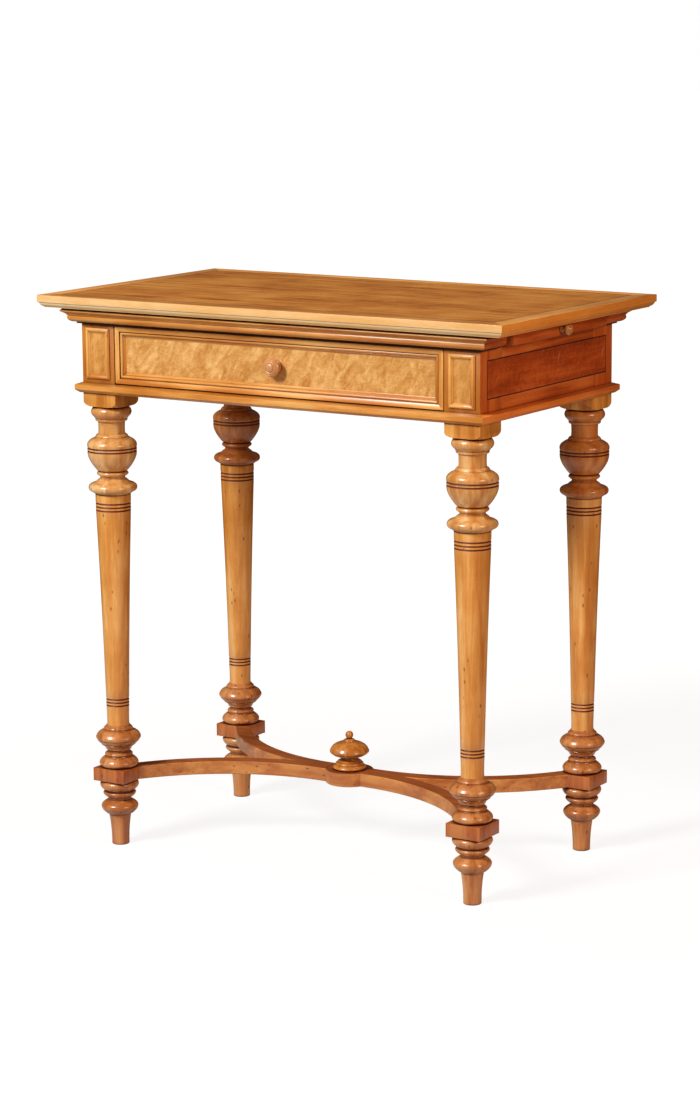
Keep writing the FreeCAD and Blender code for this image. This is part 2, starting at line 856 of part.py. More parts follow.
def side_stringing():
    """The dark lines round both end panels, mitred like picture frames."""
    strips = []
    for sx in (-1, 1):
        x = half_length - d.veneer_thickness if sx > 0 else -half_length
        for y, z, length, height in (
            (-panel_half, panel_foot, 2 * panel_half, d.line_width),
            (
                -panel_half,
                panel_foot + side_panel_height - d.line_width,
                2 * panel_half,
                d.line_width,
            ),
            (
                -panel_half,
                panel_foot + d.line_width,
                d.line_width,
                side_panel_height - 2 * d.line_width,
            ),
            (
                panel_half - d.line_width,
                panel_foot + d.line_width,
                d.line_width,
                side_panel_height - 2 * d.line_width,
            ),
        ):
            strip = document.addObject("Part::Box", "side_line")
            bind(strip, Length=d.veneer_thickness, Width=length, Height=height)
            place(strip, x, y, z)
            strips.append(strip)
    return group("side_stringing", strips)


post_frame_half_x = half_post - d.post_frame_inset
post_frame_half_z = d.frieze_height / 2 - d.post_frame_margin


def front_frame(label, half_x, half_z, centre_x, face_y, profile):
    """Four mitred strips that frame a rectangle on the front of the table."""
    strips = []
    centre_z = frieze_foot + d.frieze_height / 2
    upright = FreeCAD.Rotation(Vector(1, 0, 0), 90)
    for turn, out, length in (
        (0, half_z, 2 * half_x),
        (90, half_x, 2 * half_z),
        (180, half_z, 2 * half_x),
        (270, half_x, 2 * half_z),
    ):
        strip = bar("%s_%d" % (label, turn), length, "mitre", "mitre", *profile)
        step_x = out * round(math.sin(math.radians(turn)))
        step_z = -out * round(math.cos(math.radians(turn)))
        place(strip, centre_x + step_x, face_y, centre_z + step_z)
        spin = FreeCAD.Rotation(Vector(0, 0, 1), turn)
        strip.Placement = FreeCAD.Placement(strip.Placement.Base, upright.multiply(spin))
        strips.append(strip)
    return strips


def post_frame(sx):
    """The small raised frame on the face of a front corner post."""
    name = "post_frame_" + NAMES[sx]["x"]
    high = d.post_frame_height
    wide = d.post_frame_width
    profile = (
        (ZERO, ZERO),
        (wide, ZERO),
        (wide, d.post_frame_lip),
        (d.post_frame_bevel + d.post_frame_crown_width, high),
        (d.post_frame_bevel, high),
        (ZERO, high - d.post_frame_bevel),
    )
    half_x, half_z = post_frame_half_x, post_frame_half_z
    return group(name, front_frame(name, half_x, half_z, sx * leg_x, -half_width, profile))


def post_panel(sx):
    """The figured veneer inside the frame of a corner post, laid on the post."""
    name = "post_panel_" + NAMES[sx]["x"]
    body = document.addObject("Part::Box", name)
    half_x = post_frame_half_x - d.post_frame_width
    half_z = post_frame_half_z - d.post_frame_width
    thick = d.veneer_thickness / 2
    bind(body, Length=2 * half_x, Width=thick, Height=2 * half_z)
    centre_z = frieze_foot + d.frieze_height / 2
    place(body, sx * leg_x - half_x, -half_width - thick, centre_z - half_z)
    return keep(body, name)


# The drawer, closed, with its mouldings flush with the corner posts
drawer_half = opening_half - d.drawer_gap
drawer_foot = frieze_foot + d.drawer_gap
drawer_height = d.frieze_height - 2 * d.drawer_gap
core_face_y = -half_width + d.drawer_front_frame_height
core_back_y = core_face_y + d.drawer_core_thickness
drawer_back_y = half_width - d.apron_thickness - d.drawer_back_clearance
drawer_side_height = drawer_height - d.drawer_side_drop
side_outer = opening_half - d.drawer_side_gap
side_inner = side_outer - d.drawer_side_thickness
bottom_foot = drawer_foot + d.drawer_bottom_rise


def drawer_front():
    """The front board, rebated for the sides and grooved for the bottom."""
    body = new_body("drawer_front")
    thick = (ZERO, d.drawer_core_thickness)
    block(body, "Additive", both(drawer_half), thick, (ZERO, drawer_height))
    socket_y = (d.drawer_core_thickness - d.drawer_lap, d.drawer_core_thickness + d.cut_overrun)
    socket_z = (-d.cut_overrun, drawer_side_height + d.glue_gap)
    for sx in (-1, 1):
        low, high = side_inner - d.glue_gap, side_outer + d.glue_gap
        socket_x = (low, high) if sx > 0 else (-high, -low)
        block(body, "Subtractive", socket_x, socket_y, socket_z)
    groove_y = (
        d.drawer_core_thickness - d.drawer_groove_depth,
        d.drawer_core_thickness + d.cut_overrun,
    )
    rise = d.drawer_bottom_rise
    groove_z = (rise - d.glue_gap, rise + d.drawer_bottom_thickness + d.glue_gap)
    block(body, "Subtractive", both(side_inner), groove_y, groove_z)
    hole = body.newObject("PartDesign::SubtractiveCylinder", "drawer_front_hole")
    hole_depth = d.knob_peg_length + d.seat_gap
    bind(hole, Radius=d.knob_peg_radius + d.glue_gap, Height=hole_depth)
    place(hole, ZERO, hole_depth, drawer_height / 2, 90, Vector(1, 0, 0))
    place(body, ZERO, core_face_y, drawer_foot)
    return keep(body, "drawer_front")


def drawer_moulding():
    """The mitred frame on the drawer front: a flat, a quirk and an ogee down to the panel."""
    wide = d.drawer_front_frame_width
    high = d.drawer_front_frame_height
    flat = d.drawer_front_frame_flat
    quirk = d.drawer_front_frame_quirk
    lip = d.drawer_front_frame_lip
    low = high - quirk
    profile = (
        (ZERO, ZERO),
        (wide, ZERO),
        (wide, lip),
        ((wide + flat) / 2, lip + d.drawer_front_frame_break / 2),
        (flat + quirk, low),
        (flat, low),
        (flat, high),
        (quirk / 2, high),
        (ZERO, high - quirk / 2),
    )
    half_z = drawer_height / 2
    strips = front_frame("drawer_strip", drawer_half, half_z, ZERO, core_face_y, profile)
    return group("drawer_moulding", strips)


def drawer_panel():
    """The figured veneer on the drawer front, bored for the knob."""
    body = new_body("drawer_panel")
    half_x = drawer_half - d.drawer_front_frame_width
    half_z = drawer_height / 2 - d.drawer_front_frame_width
    block(body, "Additive", both(half_x), (-d.veneer_thickness, ZERO), both(half_z))
    hole = body.newObject("PartDesign::SubtractiveCylinder", "drawer_panel_hole")
    bind(hole, Radius=d.knob_peg_radius + d.glue_gap, Height=2 * d.veneer_thickness)
    place(hole, ZERO, d.veneer_thickness / 2, ZERO, 90, Vector(1, 0, 0))
    place(body, ZERO, core_face_y, drawer_foot + drawer_height / 2)
    return keep(body, "drawer_panel")


def drawer_side(sx):
    """A drawer side, lapped into the front and grooved for the bottom."""
    name = "drawer_side_" + NAMES[sx]["x"]
    body = new_body(name)
    start = core_back_y - d.drawer_lap + d.glue_gap
    x = (side_inner, side_outer) if sx > 0 else (-side_outer, -side_inner)
    block(body, "Additive", x, (start, drawer_back_y), (ZERO, drawer_side_height))
    groove = side_inner + d.drawer_groove_depth
    groove_x = (ZERO, groove) if sx > 0 else (-groove, ZERO)
    rise = d.drawer_bottom_rise
    groove_z = (rise - d.glue_gap, rise + d.drawer_bottom_thickness + d.glue_gap)
    groove_y = (start - d.cut_overrun, drawer_back_y + d.cut_overrun)
    block(body, "Subtractive", groove_x, groove_y, groove_z)
    place(body, ZERO, ZERO, drawer_foot)
    return keep(body, name)


def drawer_back():
    """The drawer back, set between the sides above the bottom."""
    body = document.addObject("Part::Box", "drawer_back")
    half = side_inner - d.glue_gap
    rise = d.drawer_bottom_rise + d.drawer_bottom_thickness + d.glue_gap
    bind(
        body,
        Length=2 * half,
        Width=d.drawer_back_thickness,
        Height=drawer_side_height - rise - d.drawer_groove_depth,
    )
    place(body, -half, drawer_back_y - d.drawer_back_thickness, drawer_foot + rise)
    return keep(body, "drawer_back")


def drawer_bottom():
    """The thin bottom, slid into the grooves from the back."""
    body = document.addObject("Part::Box", "drawer_bottom")
    half = side_inner + d.drawer_groove_depth - d.glue_gap
    start = core_back_y - d.drawer_groove_depth + d.glue_gap
    bind(
        body, Length=2 * half, Width=drawer_back_y - start, Height=d.drawer_bottom_thickness
    )
    place(body, -half, start, bottom_foot)
    return keep(body, "drawer_bottom")


def drawer_knob():
    """The turned knob in the middle of the drawer front."""
    body = new_body("drawer_knob")
    turned(body, *knob_outline("knob"))
    face = core_face_y - d.veneer_thickness
    place(body, ZERO, face, drawer_foot + drawer_height / 2, 90, Vector(1, 0, 0))
    return keep(body, "drawer_knob")


runner_top = drawer_foot - d.seat_gap


def drawer_runner(sx):
    """A runner between the drawer rail and the back apron, with the guide for the side."""
    name = "drawer_runner_" + NAMES[sx]["x"]
    body = new_body(name)
    inner = side_inner - d.drawer_side_thickness
    outer = apron_inner_x - d.seat_gap
    start = d.drawer_rail_width - half_width + d.seat_gap
    finish = half_width - d.apron_thickness - d.seat_gap
    shelf = (-d.runner_height, ZERO)
    guide_from = side_outer + d.seat_gap
    notch_y = half_width - d.post_side + d.seat_gap
    post_x = opening_half - d.seat_gap

    def mirror(low, high):
        return (low, high) if sx > 0 else (-high, -low)

    block(body, "Additive", mirror(inner, post_x), (start, finish), shelf)
    guide_z = (-d.runner_height, d.runner_guide_height)
    block(body, "Additive", mirror(guide_from, post_x), (start, finish), guide_z)
    between_posts = (-notch_y + 2 * d.seat_gap, notch_y - 2 * d.seat_gap)
    block(body, "Additive", mirror(guide_from, outer), between_posts, guide_z)
    place(body, ZERO, ZERO, runner_top)
    return keep(body, name)


def drawer_stops():
    """Two small blocks on the drawer rail that the front board closes against."""
    stops = []
    for sx in (-1, 1):
        stop = document.addObject("Part::Box", "drawer_stop")
        bind(stop, Length=d.stop_length, Width=d.stop_thickness, Height=d.stop_height)
        x = opening_half / 2
        low = x if sx > 0 else -x - d.stop_length
        place(stop, low, core_back_y + d.seat_gap, frieze_foot)
        stops.append(stop)
    return group("drawer_stops", stops)


# The legs
def leg_turning(body):
    """The whole turned outline of a leg, from the floor to inside its square head."""
    wheel_foot = d.foot_height
    wheel_top = wheel_foot + d.wheel_height
    quirk_top = wheel_top + d.quirk_height
    pearl_top = quirk_top + d.pearl_height
    upper_cushion_top = block_top + d.upper_cushion_height
    neck_top = upper_cushion_top + d.spool_neck_height
    bowl_top = neck_top + d.bowl_height
    rim_top = bowl_top + d.rim_height
    dome_top = rim_top + d.dome_height
    collar_top = dome_top + d.collar_height
    torus_foot = post_foot - d.leg_torus_height
    neck_foot = torus_foot - d.leg_neck_height
    collar_foot = neck_foot - d.leg_collar_height
    urn_foot = collar_foot - d.urn_height
    pearl_foot = urn_foot - d.leg_pearl_height
    rim_high = pearl_foot - d.mushroom_cap_height
    rim_low = rim_high - d.mushroom_rim_height
    shaft_top = rim_low - d.mushroom_foot_height
    foot_middle = (d.foot_tip_radius + d.foot_head_radius) / 2 - d.foot_bend
    shaft_middle = (d.shaft_foot_radius + d.shaft_top_radius) / 2 - d.shaft_bend
    return turned(
        body,
        (ZERO, ZERO),
        (d.foot_tip_radius, ZERO),
        (foot_middle, wheel_foot / 2, d.foot_head_radius, wheel_foot),
        (d.wheel_radius, wheel_foot + d.wheel_bevel),
        (d.wheel_radius, wheel_top - d.wheel_bevel),
        (d.quirk_radius, wheel_top),
        (d.quirk_radius, quirk_top),
        (d.pearl_radius, quirk_top),
        (d.pearl_radius, pearl_top),
        (d.cushion_radius, pearl_top + d.cushion_bevel),
        (d.cushion_radius, block_foot - d.cushion_bevel),
        (d.cushion_edge_radius, block_foot),
        (d.cushion_edge_radius, block_top),
        (d.cushion_radius, block_top + d.cushion_bevel),
        (d.cushion_radius, upper_cushion_top),
        (d.spool_neck_radius, neck_top),
        (d.bowl_shoulder_radius, neck_top + d.bowl_shoulder_height),
        (d.rim_radius, bowl_top),
        (d.rim_radius, rim_top),
        (d.dome_top_radius, dome_top),
        (d.shaft_foot_radius, collar_top),
        (shaft_middle, (collar_top + shaft_top) / 2, d.shaft_top_radius, shaft_top),
        (d.mushroom_rim_radius, rim_low),
        (d.mushroom_rim_radius, rim_high),
        (d.mushroom_neck_radius, pearl_foot),
        (d.urn_foot_radius, pearl_foot + d.leg_pearl_bevel),
        (d.urn_foot_radius, urn_foot),
        *urn_points(urn_foot),
        (d.urn_top_radius, collar_foot),
        (d.leg_collar_radius, collar_foot),
        (d.leg_collar_radius, neck_foot),
        (d.leg_neck_radius, neck_foot),
        (d.leg_neck_radius, torus_foot),
        (d.leg_torus_radius, torus_foot + d.leg_torus_bevel),
        (d.leg_torus_radius, post_foot - d.leg_torus_top_bevel),
        (d.leg_torus_top_radius, post_foot),
        (d.leg_torus_top_radius, post_foot + d.post_shoulder_height),
        (ZERO, post_foot + d.post_shoulder_height),
    )


# The urn's outline, as shares of its swell and of its height
URN_SWELL_SHARES = ((0.58, 0.19), (0.97, 0.42), (1.0, 0.72))
SHOULDER_MIDDLE_SHARES = (0.8, 0.34)
CORNER_SHARE = math.sqrt(2)


def urn_points(urn_foot):
    """The corners of the urn between its foot and its top."""
    swell = d.urn_radius - d.urn_foot_radius
    return [
        (d.urn_foot_radius + swell * wide, urn_foot + d.urn_height * high)
        for wide, high in URN_SWELL_SHARES
    ]


def leg_shoulder(body):
    """Turns off the lower corners of the square head, as the lathe leaves them."""
    corner = half_post * CORNER_SHARE
    outside = corner + d.post_shoulder_height
    top = post_foot + d.post_shoulder_height
    wide, high = SHOULDER_MIDDLE_SHARES
    sketch = outline(
        body,
        "XZ_Plane",
        (half_post, post_foot),
        (half_post + (corner - half_post) * wide, post_foot + d.post_shoulder_height * high),
        (corner, top),
        (outside, top),
        (outside, post_foot - d.seat_gap),
        (half_post, post_foot - d.seat_gap),
    )
    groove = body.newObject("PartDesign::Groove", body.Name + "_shoulder")
    groove.Profile = sketch
    groove.ReferenceAxis = (sketch, ["V_Axis"])
    groove.Angle = 360
    return groove


def leg(sx, sy):
    """One leg: square head with its mortises, turned shaft, square block and turned foot."""
    name = "leg_%s_%s" % (NAMES[sy]["y"], NAMES[sx]["x"])
    body = new_body(name)
    leg_turning(body)
    block(body, "Additive", both(half_post), both(half_post), (post_foot, case_top))
    leg_shoulder(body)
    half_block = d.block_side / 2
    block(body, "Additive", both(half_block), both(half_block), (block_foot, block_top))
    half_pin = both(d.rail_pin_side / 2)
    block(body, "Additive", half_pin, half_pin, (case_top, case_top + d.rail_pin_height))
    deep = d.tenon_length + d.seat_gap
    outer = half_post - d.apron_thickness / 2
    half_slot = d.tenon_thickness / 2 + d.glue_gap
    slot_z = (case_foot + tenon_foot - d.glue_gap, case_foot + tenon_top + d.glue_gap)
    inward = half_post + d.cut_overrun

    def away(sign, low, high):
        return (low, high) if sign > 0 else (-high, -low)

    end_x = away(sx, outer - half_slot, outer + half_slot)
    end_y = away(-sy, half_post - deep, inward)
    block(body, "Subtractive", end_x, end_y, slot_z)
    if sy > 0:
        back_x = away(-sx, half_post - deep, inward)
        back_y = (outer - half_slot, outer + half_slot)
        block(body, "Subtractive", back_x, back_y, slot_z)
    else:
        rail_x = away(-sx, half_post - deep, inward)
        centre = d.drawer_rail_width / 2 - half_post
        rail_y = (centre - rail_tenon_half - d.glue_gap, centre + rail_tenon_half + d.glue_gap)
        rail_z = (case_foot + rail_tenon_foot - d.glue_gap, case_foot + rail_tenon_top + d.glue_gap)
        block(body, "Subtractive", rail_x, rail_y, rail_z)
    sunk = away(sx, half_post - d.veneer_thickness, inward)
    sunk_y = away(-sy, d.side_panel_inset - half_post, inward)
    sunk_z = (panel_foot, panel_foot + side_panel_height)
    block(body, "Subtractive", sunk, sunk_y, sunk_z)
    tenon_socket(body, sx, sy, -sx * half_block, -sy * half_block, arm_level)
    place(body, sx * leg_x, sy * leg_y, ZERO)
    return keep(body, name)


# The stretcher: each arm is straight at the boss and then bends round to its leg
arm_corner_x = leg_x - d.block_side / 2
arm_corner_y = leg_y - d.block_side / 2
arm_level = block_foot + d.block_height / 2
arm_run = arm_corner_x - d.arm_straight_end
arm_rise = arm_corner_y - d.arm_corner_shift - d.arm_stem_shift
arm_bend_radius = (arm_run * arm_run + arm_rise * arm_rise) / (2 * arm_rise)
arm_centre_y = arm_bend_radius + d.arm_stem_shift
arm_outer = arm_bend_radius + d.arm_width / 2
arm_inner = arm_bend_radius - d.arm_width / 2
stem_edge = arm_centre_y - arm_inner
split_run = root(arm_outer * arm_outer - arm_centre_y * arm_centre_y)
# Where an arm meets its block, the arm points this much along X and along Y
heading_x = (arm_bend_radius - arm_rise) / arm_bend_radius
heading_y = arm_run / arm_bend_radius
ARM_END_SHARE = 0.6


def on_bend(radius, run):
    """The point of an arm's curve at one distance from the end of its straight part."""
    y = arm_centre_y - root(radius * radius - run * run)
    return d.arm_straight_end + run, y


def arm_heading(sx, sy):
    """The turn about Z that points along an arm where it meets its leg's block."""
    return sx * sy * math.degrees(math.atan2(heading_y.value, heading_x.value))


def tenon_box(body, kind, x, y, z, turn, gap, end_gap):
    """A loose tenon, or the hole for one, lying level with its middle at a place."""
    box = body.newObject("PartDesign::%sBox" % kind, body.Name + "_tenon")
    length = d.loose_tenon_length + 2 * end_gap
    width = d.loose_tenon_thickness + 2 * gap
    height = d.loose_tenon_height + 2 * gap
    bind(box, Length=length, Width=width, Height=height)
    east = math.cos(math.radians(turn))
    north = math.sin(math.radians(turn))
    corner_x = x - length / 2 * east + width / 2 * north
    corner_y = y - length / 2 * north - width / 2 * east
    place(box, corner_x, corner_y, z - height / 2, turn)
    return box


def tenon_socket(body, sx, sy, x, y, z):
    """The slanting hole for the loose tenon between a leg's block and its arm."""
    return tenon_box(body, "Subtractive", x, y, z, arm_heading(sx, sy), d.glue_gap, d.seat_gap)


def boss_socket(body, sx, sy, z):
    """The hole for the loose tenon between the boss and an arm."""
    x, y = boss_tenon_place(sx, sy)
    return tenon_box(body, "Subtractive", x, y, z, 0, d.glue_gap, d.seat_gap)


def boss_tenon_place(sx, sy):
    """The middle of the loose tenon between the boss and an arm."""
    y = stem_edge / 2
    return sx * root(d.boss_radius * d.boss_radius - y * y), sy * y


def stretcher_arm(sx, sy):
    """One sawn arm, fitted over the corner of its leg's block and round the boss."""
    name = "stretcher_arm_%s_%s" % (NAMES[sy]["y"], NAMES[sx]["x"])
    body = new_body(name)
    reach = d.block_side * ARM_END_SHARE

    def arm_end(radius):
        x = d.arm_straight_end + radius * heading_y
        y = arm_centre_y - radius * heading_x
        return (x, y), (x + reach * heading_x, y + reach * heading_y)

    outer_end, outer_tip = arm_end(arm_outer)
    inner_end, inner_tip = arm_end(arm_inner)
    outer_middle = on_bend(arm_outer, (split_run + arm_outer * heading_y) / 2)
    inner_middle = on_bend(arm_inner, arm_inner * heading_y / 2)
    start = d.boss_radius / 2
    path = (
        (start, ZERO),
        (d.arm_straight_end + split_run, ZERO),
        (*outer_middle, *outer_end),
        outer_tip,
        inner_tip,
        inner_end,
        (*inner_middle, d.arm_straight_end, stem_edge),
        (start, stem_edge),
    )
    signs = (sx, sy, sx, sy)
    points = [tuple(sign * size for sign, size in zip(signs, point)) for point in path]
    padded(body, "XY_Plane", d.block_height, *points)
    half_block = d.block_side / 2
    half_height = both(d.block_height)
    block_x = (sx * leg_x - half_block, sx * leg_x + half_block)
    block_y = (sy * leg_y - half_block, sy * leg_y + half_block)
    block(body, "Subtractive", block_x, block_y, half_height)
    round_end = body.newObject("PartDesign::SubtractiveCylinder", name + "_round_end")
    bind(round_end, Radius=d.boss_radius, Height=2 * d.block_height)
    place(round_end, ZERO, ZERO, -d.block_height)
    tenon_socket(body, sx, sy, sx * arm_corner_x, sy * arm_corner_y, ZERO)
    boss_socket(body, sx, sy, ZERO)
    place(body, ZERO, ZERO, arm_level)
    return keep(body, name)


def stretcher_tenons():
    """The eight loose tenons that join the arms to the legs and to the boss."""
    tenons = []
    for sx, sy in CORNERS:
        boss_x, boss_y = boss_tenon_place(sx, sy)
        for x, y, turn in (
            (sx * arm_corner_x, sy * arm_corner_y, arm_heading(sx, sy)),
            (boss_x, boss_y, 0),
        ):
            tenon = new_body("stretcher_tenon")
            tenon_box(tenon, "Additive", x, y, ZERO, turn, ZERO, ZERO)
            place(tenon, ZERO, ZERO, arm_level)
            tenons.append(tenon)
    return group("stretcher_tenons", tenons)


def stretcher_boss():
    """The round block where the arms meet, cut for their tenons and bored for the finial."""
    body = new_body("stretcher_boss")
    disc = body.newObject("PartDesign::AdditiveCylinder", "stretcher_boss_disc")
    bind(disc, Radius=d.boss_radius, Height=d.block_height)
    place(disc, ZERO, ZERO, -d.block_height / 2)
    for sx, sy in CORNERS:
        boss_socket(body, sx, sy, ZERO)
    hole = body.newObject("PartDesign::SubtractiveCylinder", "stretcher_boss_hole")
    bind(hole, Radius=d.finial_peg_radius + d.glue_gap, Height=d.block_height)
    place(hole, ZERO, ZERO, d.block_height / 2 - d.finial_peg_length - d.seat_gap)
    place(body, ZERO, ZERO, arm_level)
    return keep(body, "stretcher_boss")


# The lower half of the finial's ball starts inside its throat
BALL_SEAT_SHARE = 0.7


def stretcher_finial():
    """The turned finial: bead, step, neck, broad cap, collar and ball, on a peg."""
    body = new_body("stretcher_finial")
    base_top = d.finial_base_height
    step_top = base_top + d.finial_step_height
    neck_top = step_top + d.finial_neck_height
    cap_rim = neck_top + d.finial_cap_underside_height
    cap_rim_top = cap_rim + d.finial_cap_rim_height
    cap_top = cap_rim + d.finial_cap_height
    collar_top = cap_top + d.finial_collar_height
    throat_top = collar_top + d.finial_throat_height
    ball = d.finial_ball_radius
    ball_middle = throat_top + ball * BALL_SEAT_SHARE
    ball_top = ball_middle + ball
    turned(
        body,
        (ZERO, -d.finial_peg_length),
        (d.finial_peg_radius, -d.finial_peg_length),
        (d.finial_peg_radius, ZERO),
        (d.finial_base_radius, ZERO),
        (d.finial_base_radius, base_top),
        (d.finial_step_radius, base_top),
        (d.finial_step_radius, step_top),
        (d.finial_neck_radius, step_top),
        (d.finial_neck_radius, neck_top),
        (d.finial_cap_lip_radius, neck_top),
        (d.finial_cap_radius, cap_rim),
        (d.finial_cap_radius, cap_rim_top),
        (d.finial_cap_shoulder_radius, cap_rim + d.finial_cap_shoulder_height),
        (d.finial_collar_radius, cap_top),
        (d.finial_collar_radius, collar_top),
        (d.finial_throat_radius, collar_top),
        (d.finial_throat_radius, throat_top),
        (ball, ball_middle),
        (ball * BALL_SEAT_SHARE, ball_middle + ball * BALL_SEAT_SHARE),
        (ZERO, ball_top),
    )
    place(body, ZERO, ZERO, block_top)
    return keep(body, "stretcher_finial")


def build():
    """Makes every sub-part."""
    top_panel()
    for side in SIDES:
        top_border(side)
    top_stringing()
    cornice()
    ebony_fillet()
    slide_bed()
    slide_guides()
    slide_divider()
    for sign in (-1, 1):
        top_rail(sign)
        slide_board(sign)
        slide_lipping(sign)
        slide_knob(sign)
        apron_side(sign)
        side_panel(sign)
        post_frame(sign)
        post_panel(sign)
        drawer_side(sign)
        drawer_runner(sign)
    apron_back()
    drawer_rail()
    for side in SIDES:
        base_moulding(side)
    side_stringing()
    drawer_front()
    drawer_moulding()
    drawer_panel()
    drawer_back()
    drawer_bottom()
    drawer_knob()
    drawer_stops()
    for sx, sy in CORNERS:
        leg(sx, sy)
        stretcher_arm(sx, sy)
    stretcher_tenons()
    stretcher_boss()
    stretcher_finial()


def check_and_export():
    """Recomputes, refuses any failed object or bad shape, and writes one file each."""
    document.recompute()
    for thing in document.Objects:
        if "Invalid" in thing.State or "Error" in thing.State:
            raise RuntimeError("%s failed: %s" % (thing.Label, thing.State))
    for thing in parts:
        if thing.Shape.isNull() or not thing.Shape.isValid():
            raise RuntimeError("%s has no valid shape" % thing.Label)
    os.makedirs("parts", exist_ok=True)
    for thing in parts:
        thing.Shape.exportStep("parts/%s.step" % thing.Label)
    print("wrote %d sub-parts" % len(parts))


build()
check_and_export()
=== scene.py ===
# %% [markdown]
# # A small birch work table
#
# The table has a moulded top over two pull-out slides, a frieze with one drawer, four turned
# legs and a curved stretcher with a finial. Its joinery comes from the CAD model. This lesson
# dresses it: we turn the legs and knobs, run the mouldings, ease the edges and polish it.
#
# We load the CAD model first.

import math

import bpy
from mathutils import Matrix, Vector


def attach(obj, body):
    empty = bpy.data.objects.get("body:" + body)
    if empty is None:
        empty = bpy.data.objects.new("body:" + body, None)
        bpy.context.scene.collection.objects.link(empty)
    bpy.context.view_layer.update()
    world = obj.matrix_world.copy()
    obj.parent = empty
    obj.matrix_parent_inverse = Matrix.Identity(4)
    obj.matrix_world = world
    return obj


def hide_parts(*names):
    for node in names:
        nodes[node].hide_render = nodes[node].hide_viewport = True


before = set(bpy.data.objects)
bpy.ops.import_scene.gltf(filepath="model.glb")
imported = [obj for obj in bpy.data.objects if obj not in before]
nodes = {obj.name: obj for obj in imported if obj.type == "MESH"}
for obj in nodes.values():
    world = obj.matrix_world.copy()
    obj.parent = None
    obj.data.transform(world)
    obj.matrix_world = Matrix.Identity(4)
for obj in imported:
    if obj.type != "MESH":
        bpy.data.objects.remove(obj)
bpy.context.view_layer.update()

# %% [markdown]
# All lengths below are written in millimetres, as on a workshop drawing, and Blender works
# in metres. The first helpers pick one piece to work on. An operator acts on everything that
# is selected, so each helper clears the selection before it picks.

# %% Helpers to pick a piece
MM = 0.001


def mm(*values):
    """Millimetres to metres."""
    return tuple(value * MM for value in values)


def pick(piece):
    """Select one piece alone and make it active."""
    bpy.ops.object.select_all(action="DESELECT")
    piece.select_set(True)
    bpy.context.view_layer.objects.active = piece


def take_all():
    """Select all of the mesh that is open."""
    bpy.ops.mesh.select_all(action="SELECT")


def edit(piece):
    """Open one piece in edit mode with all of its mesh selected."""
    pick(piece)
    bpy.ops.object.mode_set(mode="EDIT")
    take_all()


def close():
    """Leave edit mode."""
    bpy.ops.object.mode_set(mode="OBJECT")


def fix_place(piece):
    """Put a piece's place and turn into its mesh, so that its object sits at the origin."""
    pick(piece)
    bpy.ops.object.transform_apply(location=True, rotation=True, scale=True)


def smooth(piece, degrees=35):
    """Shade a piece smooth, but keep edges that are sharper than an angle."""
    pick(piece)
    bpy.ops.object.shade_smooth_by_angle(angle=math.radians(degrees))


# %% [markdown]
# ## The camera
#
# The photograph was taken from the front, to the right of the middle and a little above the
# top. The straight edges of the table give the camera's place, its turn and the length of
# its lens. A small shift moves the table up and to the left in the frame.

# %% Camera
camera_data = bpy.data.cameras.new("camera")
camera = bpy.data.objects.new("camera", camera_data)
bpy.context.scene.collection.objects.link(camera)
bpy.context.scene.camera = camera
camera.location = mm(2206, -3462, 1165)
camera_turn = math.radians(31.256)
camera_tilt = math.radians(11.693)
camera_roll = math.radians(0.17)
camera.rotation_euler = (math.pi / 2 - camera_tilt, camera_roll, camera_turn)
camera_data.sensor_width = 36.0
camera_data.lens = 105.64
camera_data.shift_x = -0.0595
camera_data.shift_y = 0.0584
bpy.context.scene.view_settings.view_transform = "Standard"
print("camera", round(camera.location.length, 2), "m from the origin")

# %% [markdown]
# ## Colours and nodes
#
# Colours are written as on a colour card, in hexadecimal sRGB. The shader wants linear light,
# so one function turns them. A second small function adds any node to a material, sets it up
# and links it, which keeps the recipes below short enough to read.

# %% Colour and node helpers
def colour(hex_code):
    """A hexadecimal sRGB colour as linear red, green, blue and alpha."""
    parts = [int(hex_code[i : i + 2], 16) / 255 for i in (1, 3, 5)]
    linear = [p / 12.92 if p <= 0.04045 else ((p + 0.055) / 1.055) ** 2.4 for p in parts]
    return (*linear, 1.0)


def add(tree, kind, inputs=None, **settings):
    """Add a node: settings are its own, and inputs are values or links for its sockets."""
    node = tree.nodes.new(kind)
    for name, value in settings.items():
        setattr(node, name, value)
    for socket, value in (inputs or {}).items():
        if isinstance(value, bpy.types.NodeSocket):
            tree.links.new(value, node.inputs[socket])
        else:
            node.inputs[socket].default_value = value
    return node


def new_material(name):
    """An empty material with its output node."""
    material = bpy.data.materials.new(name)
    material.use_nodes = True
    material.node_tree.nodes.clear()
    output = add(material.node_tree, "ShaderNodeOutputMaterial")
    return material, material.node_tree, output


def stops(node, *pairs):
    """Set the stops of a colour ramp from pairs of place and colour."""
    ramp = node.color_ramp
    while len(ramp.elements) > 1:
        ramp.elements.remove(ramp.elements[-1])
    ramp.elements[0].position, ramp.elements[0].color = pairs[0]
    for place, shade in pairs[1:]:
        ramp.elements.new(place).color = shade
    return node


def grey(value):
    """A grey of one value as a colour."""
    return (value, value, value, 1.0)
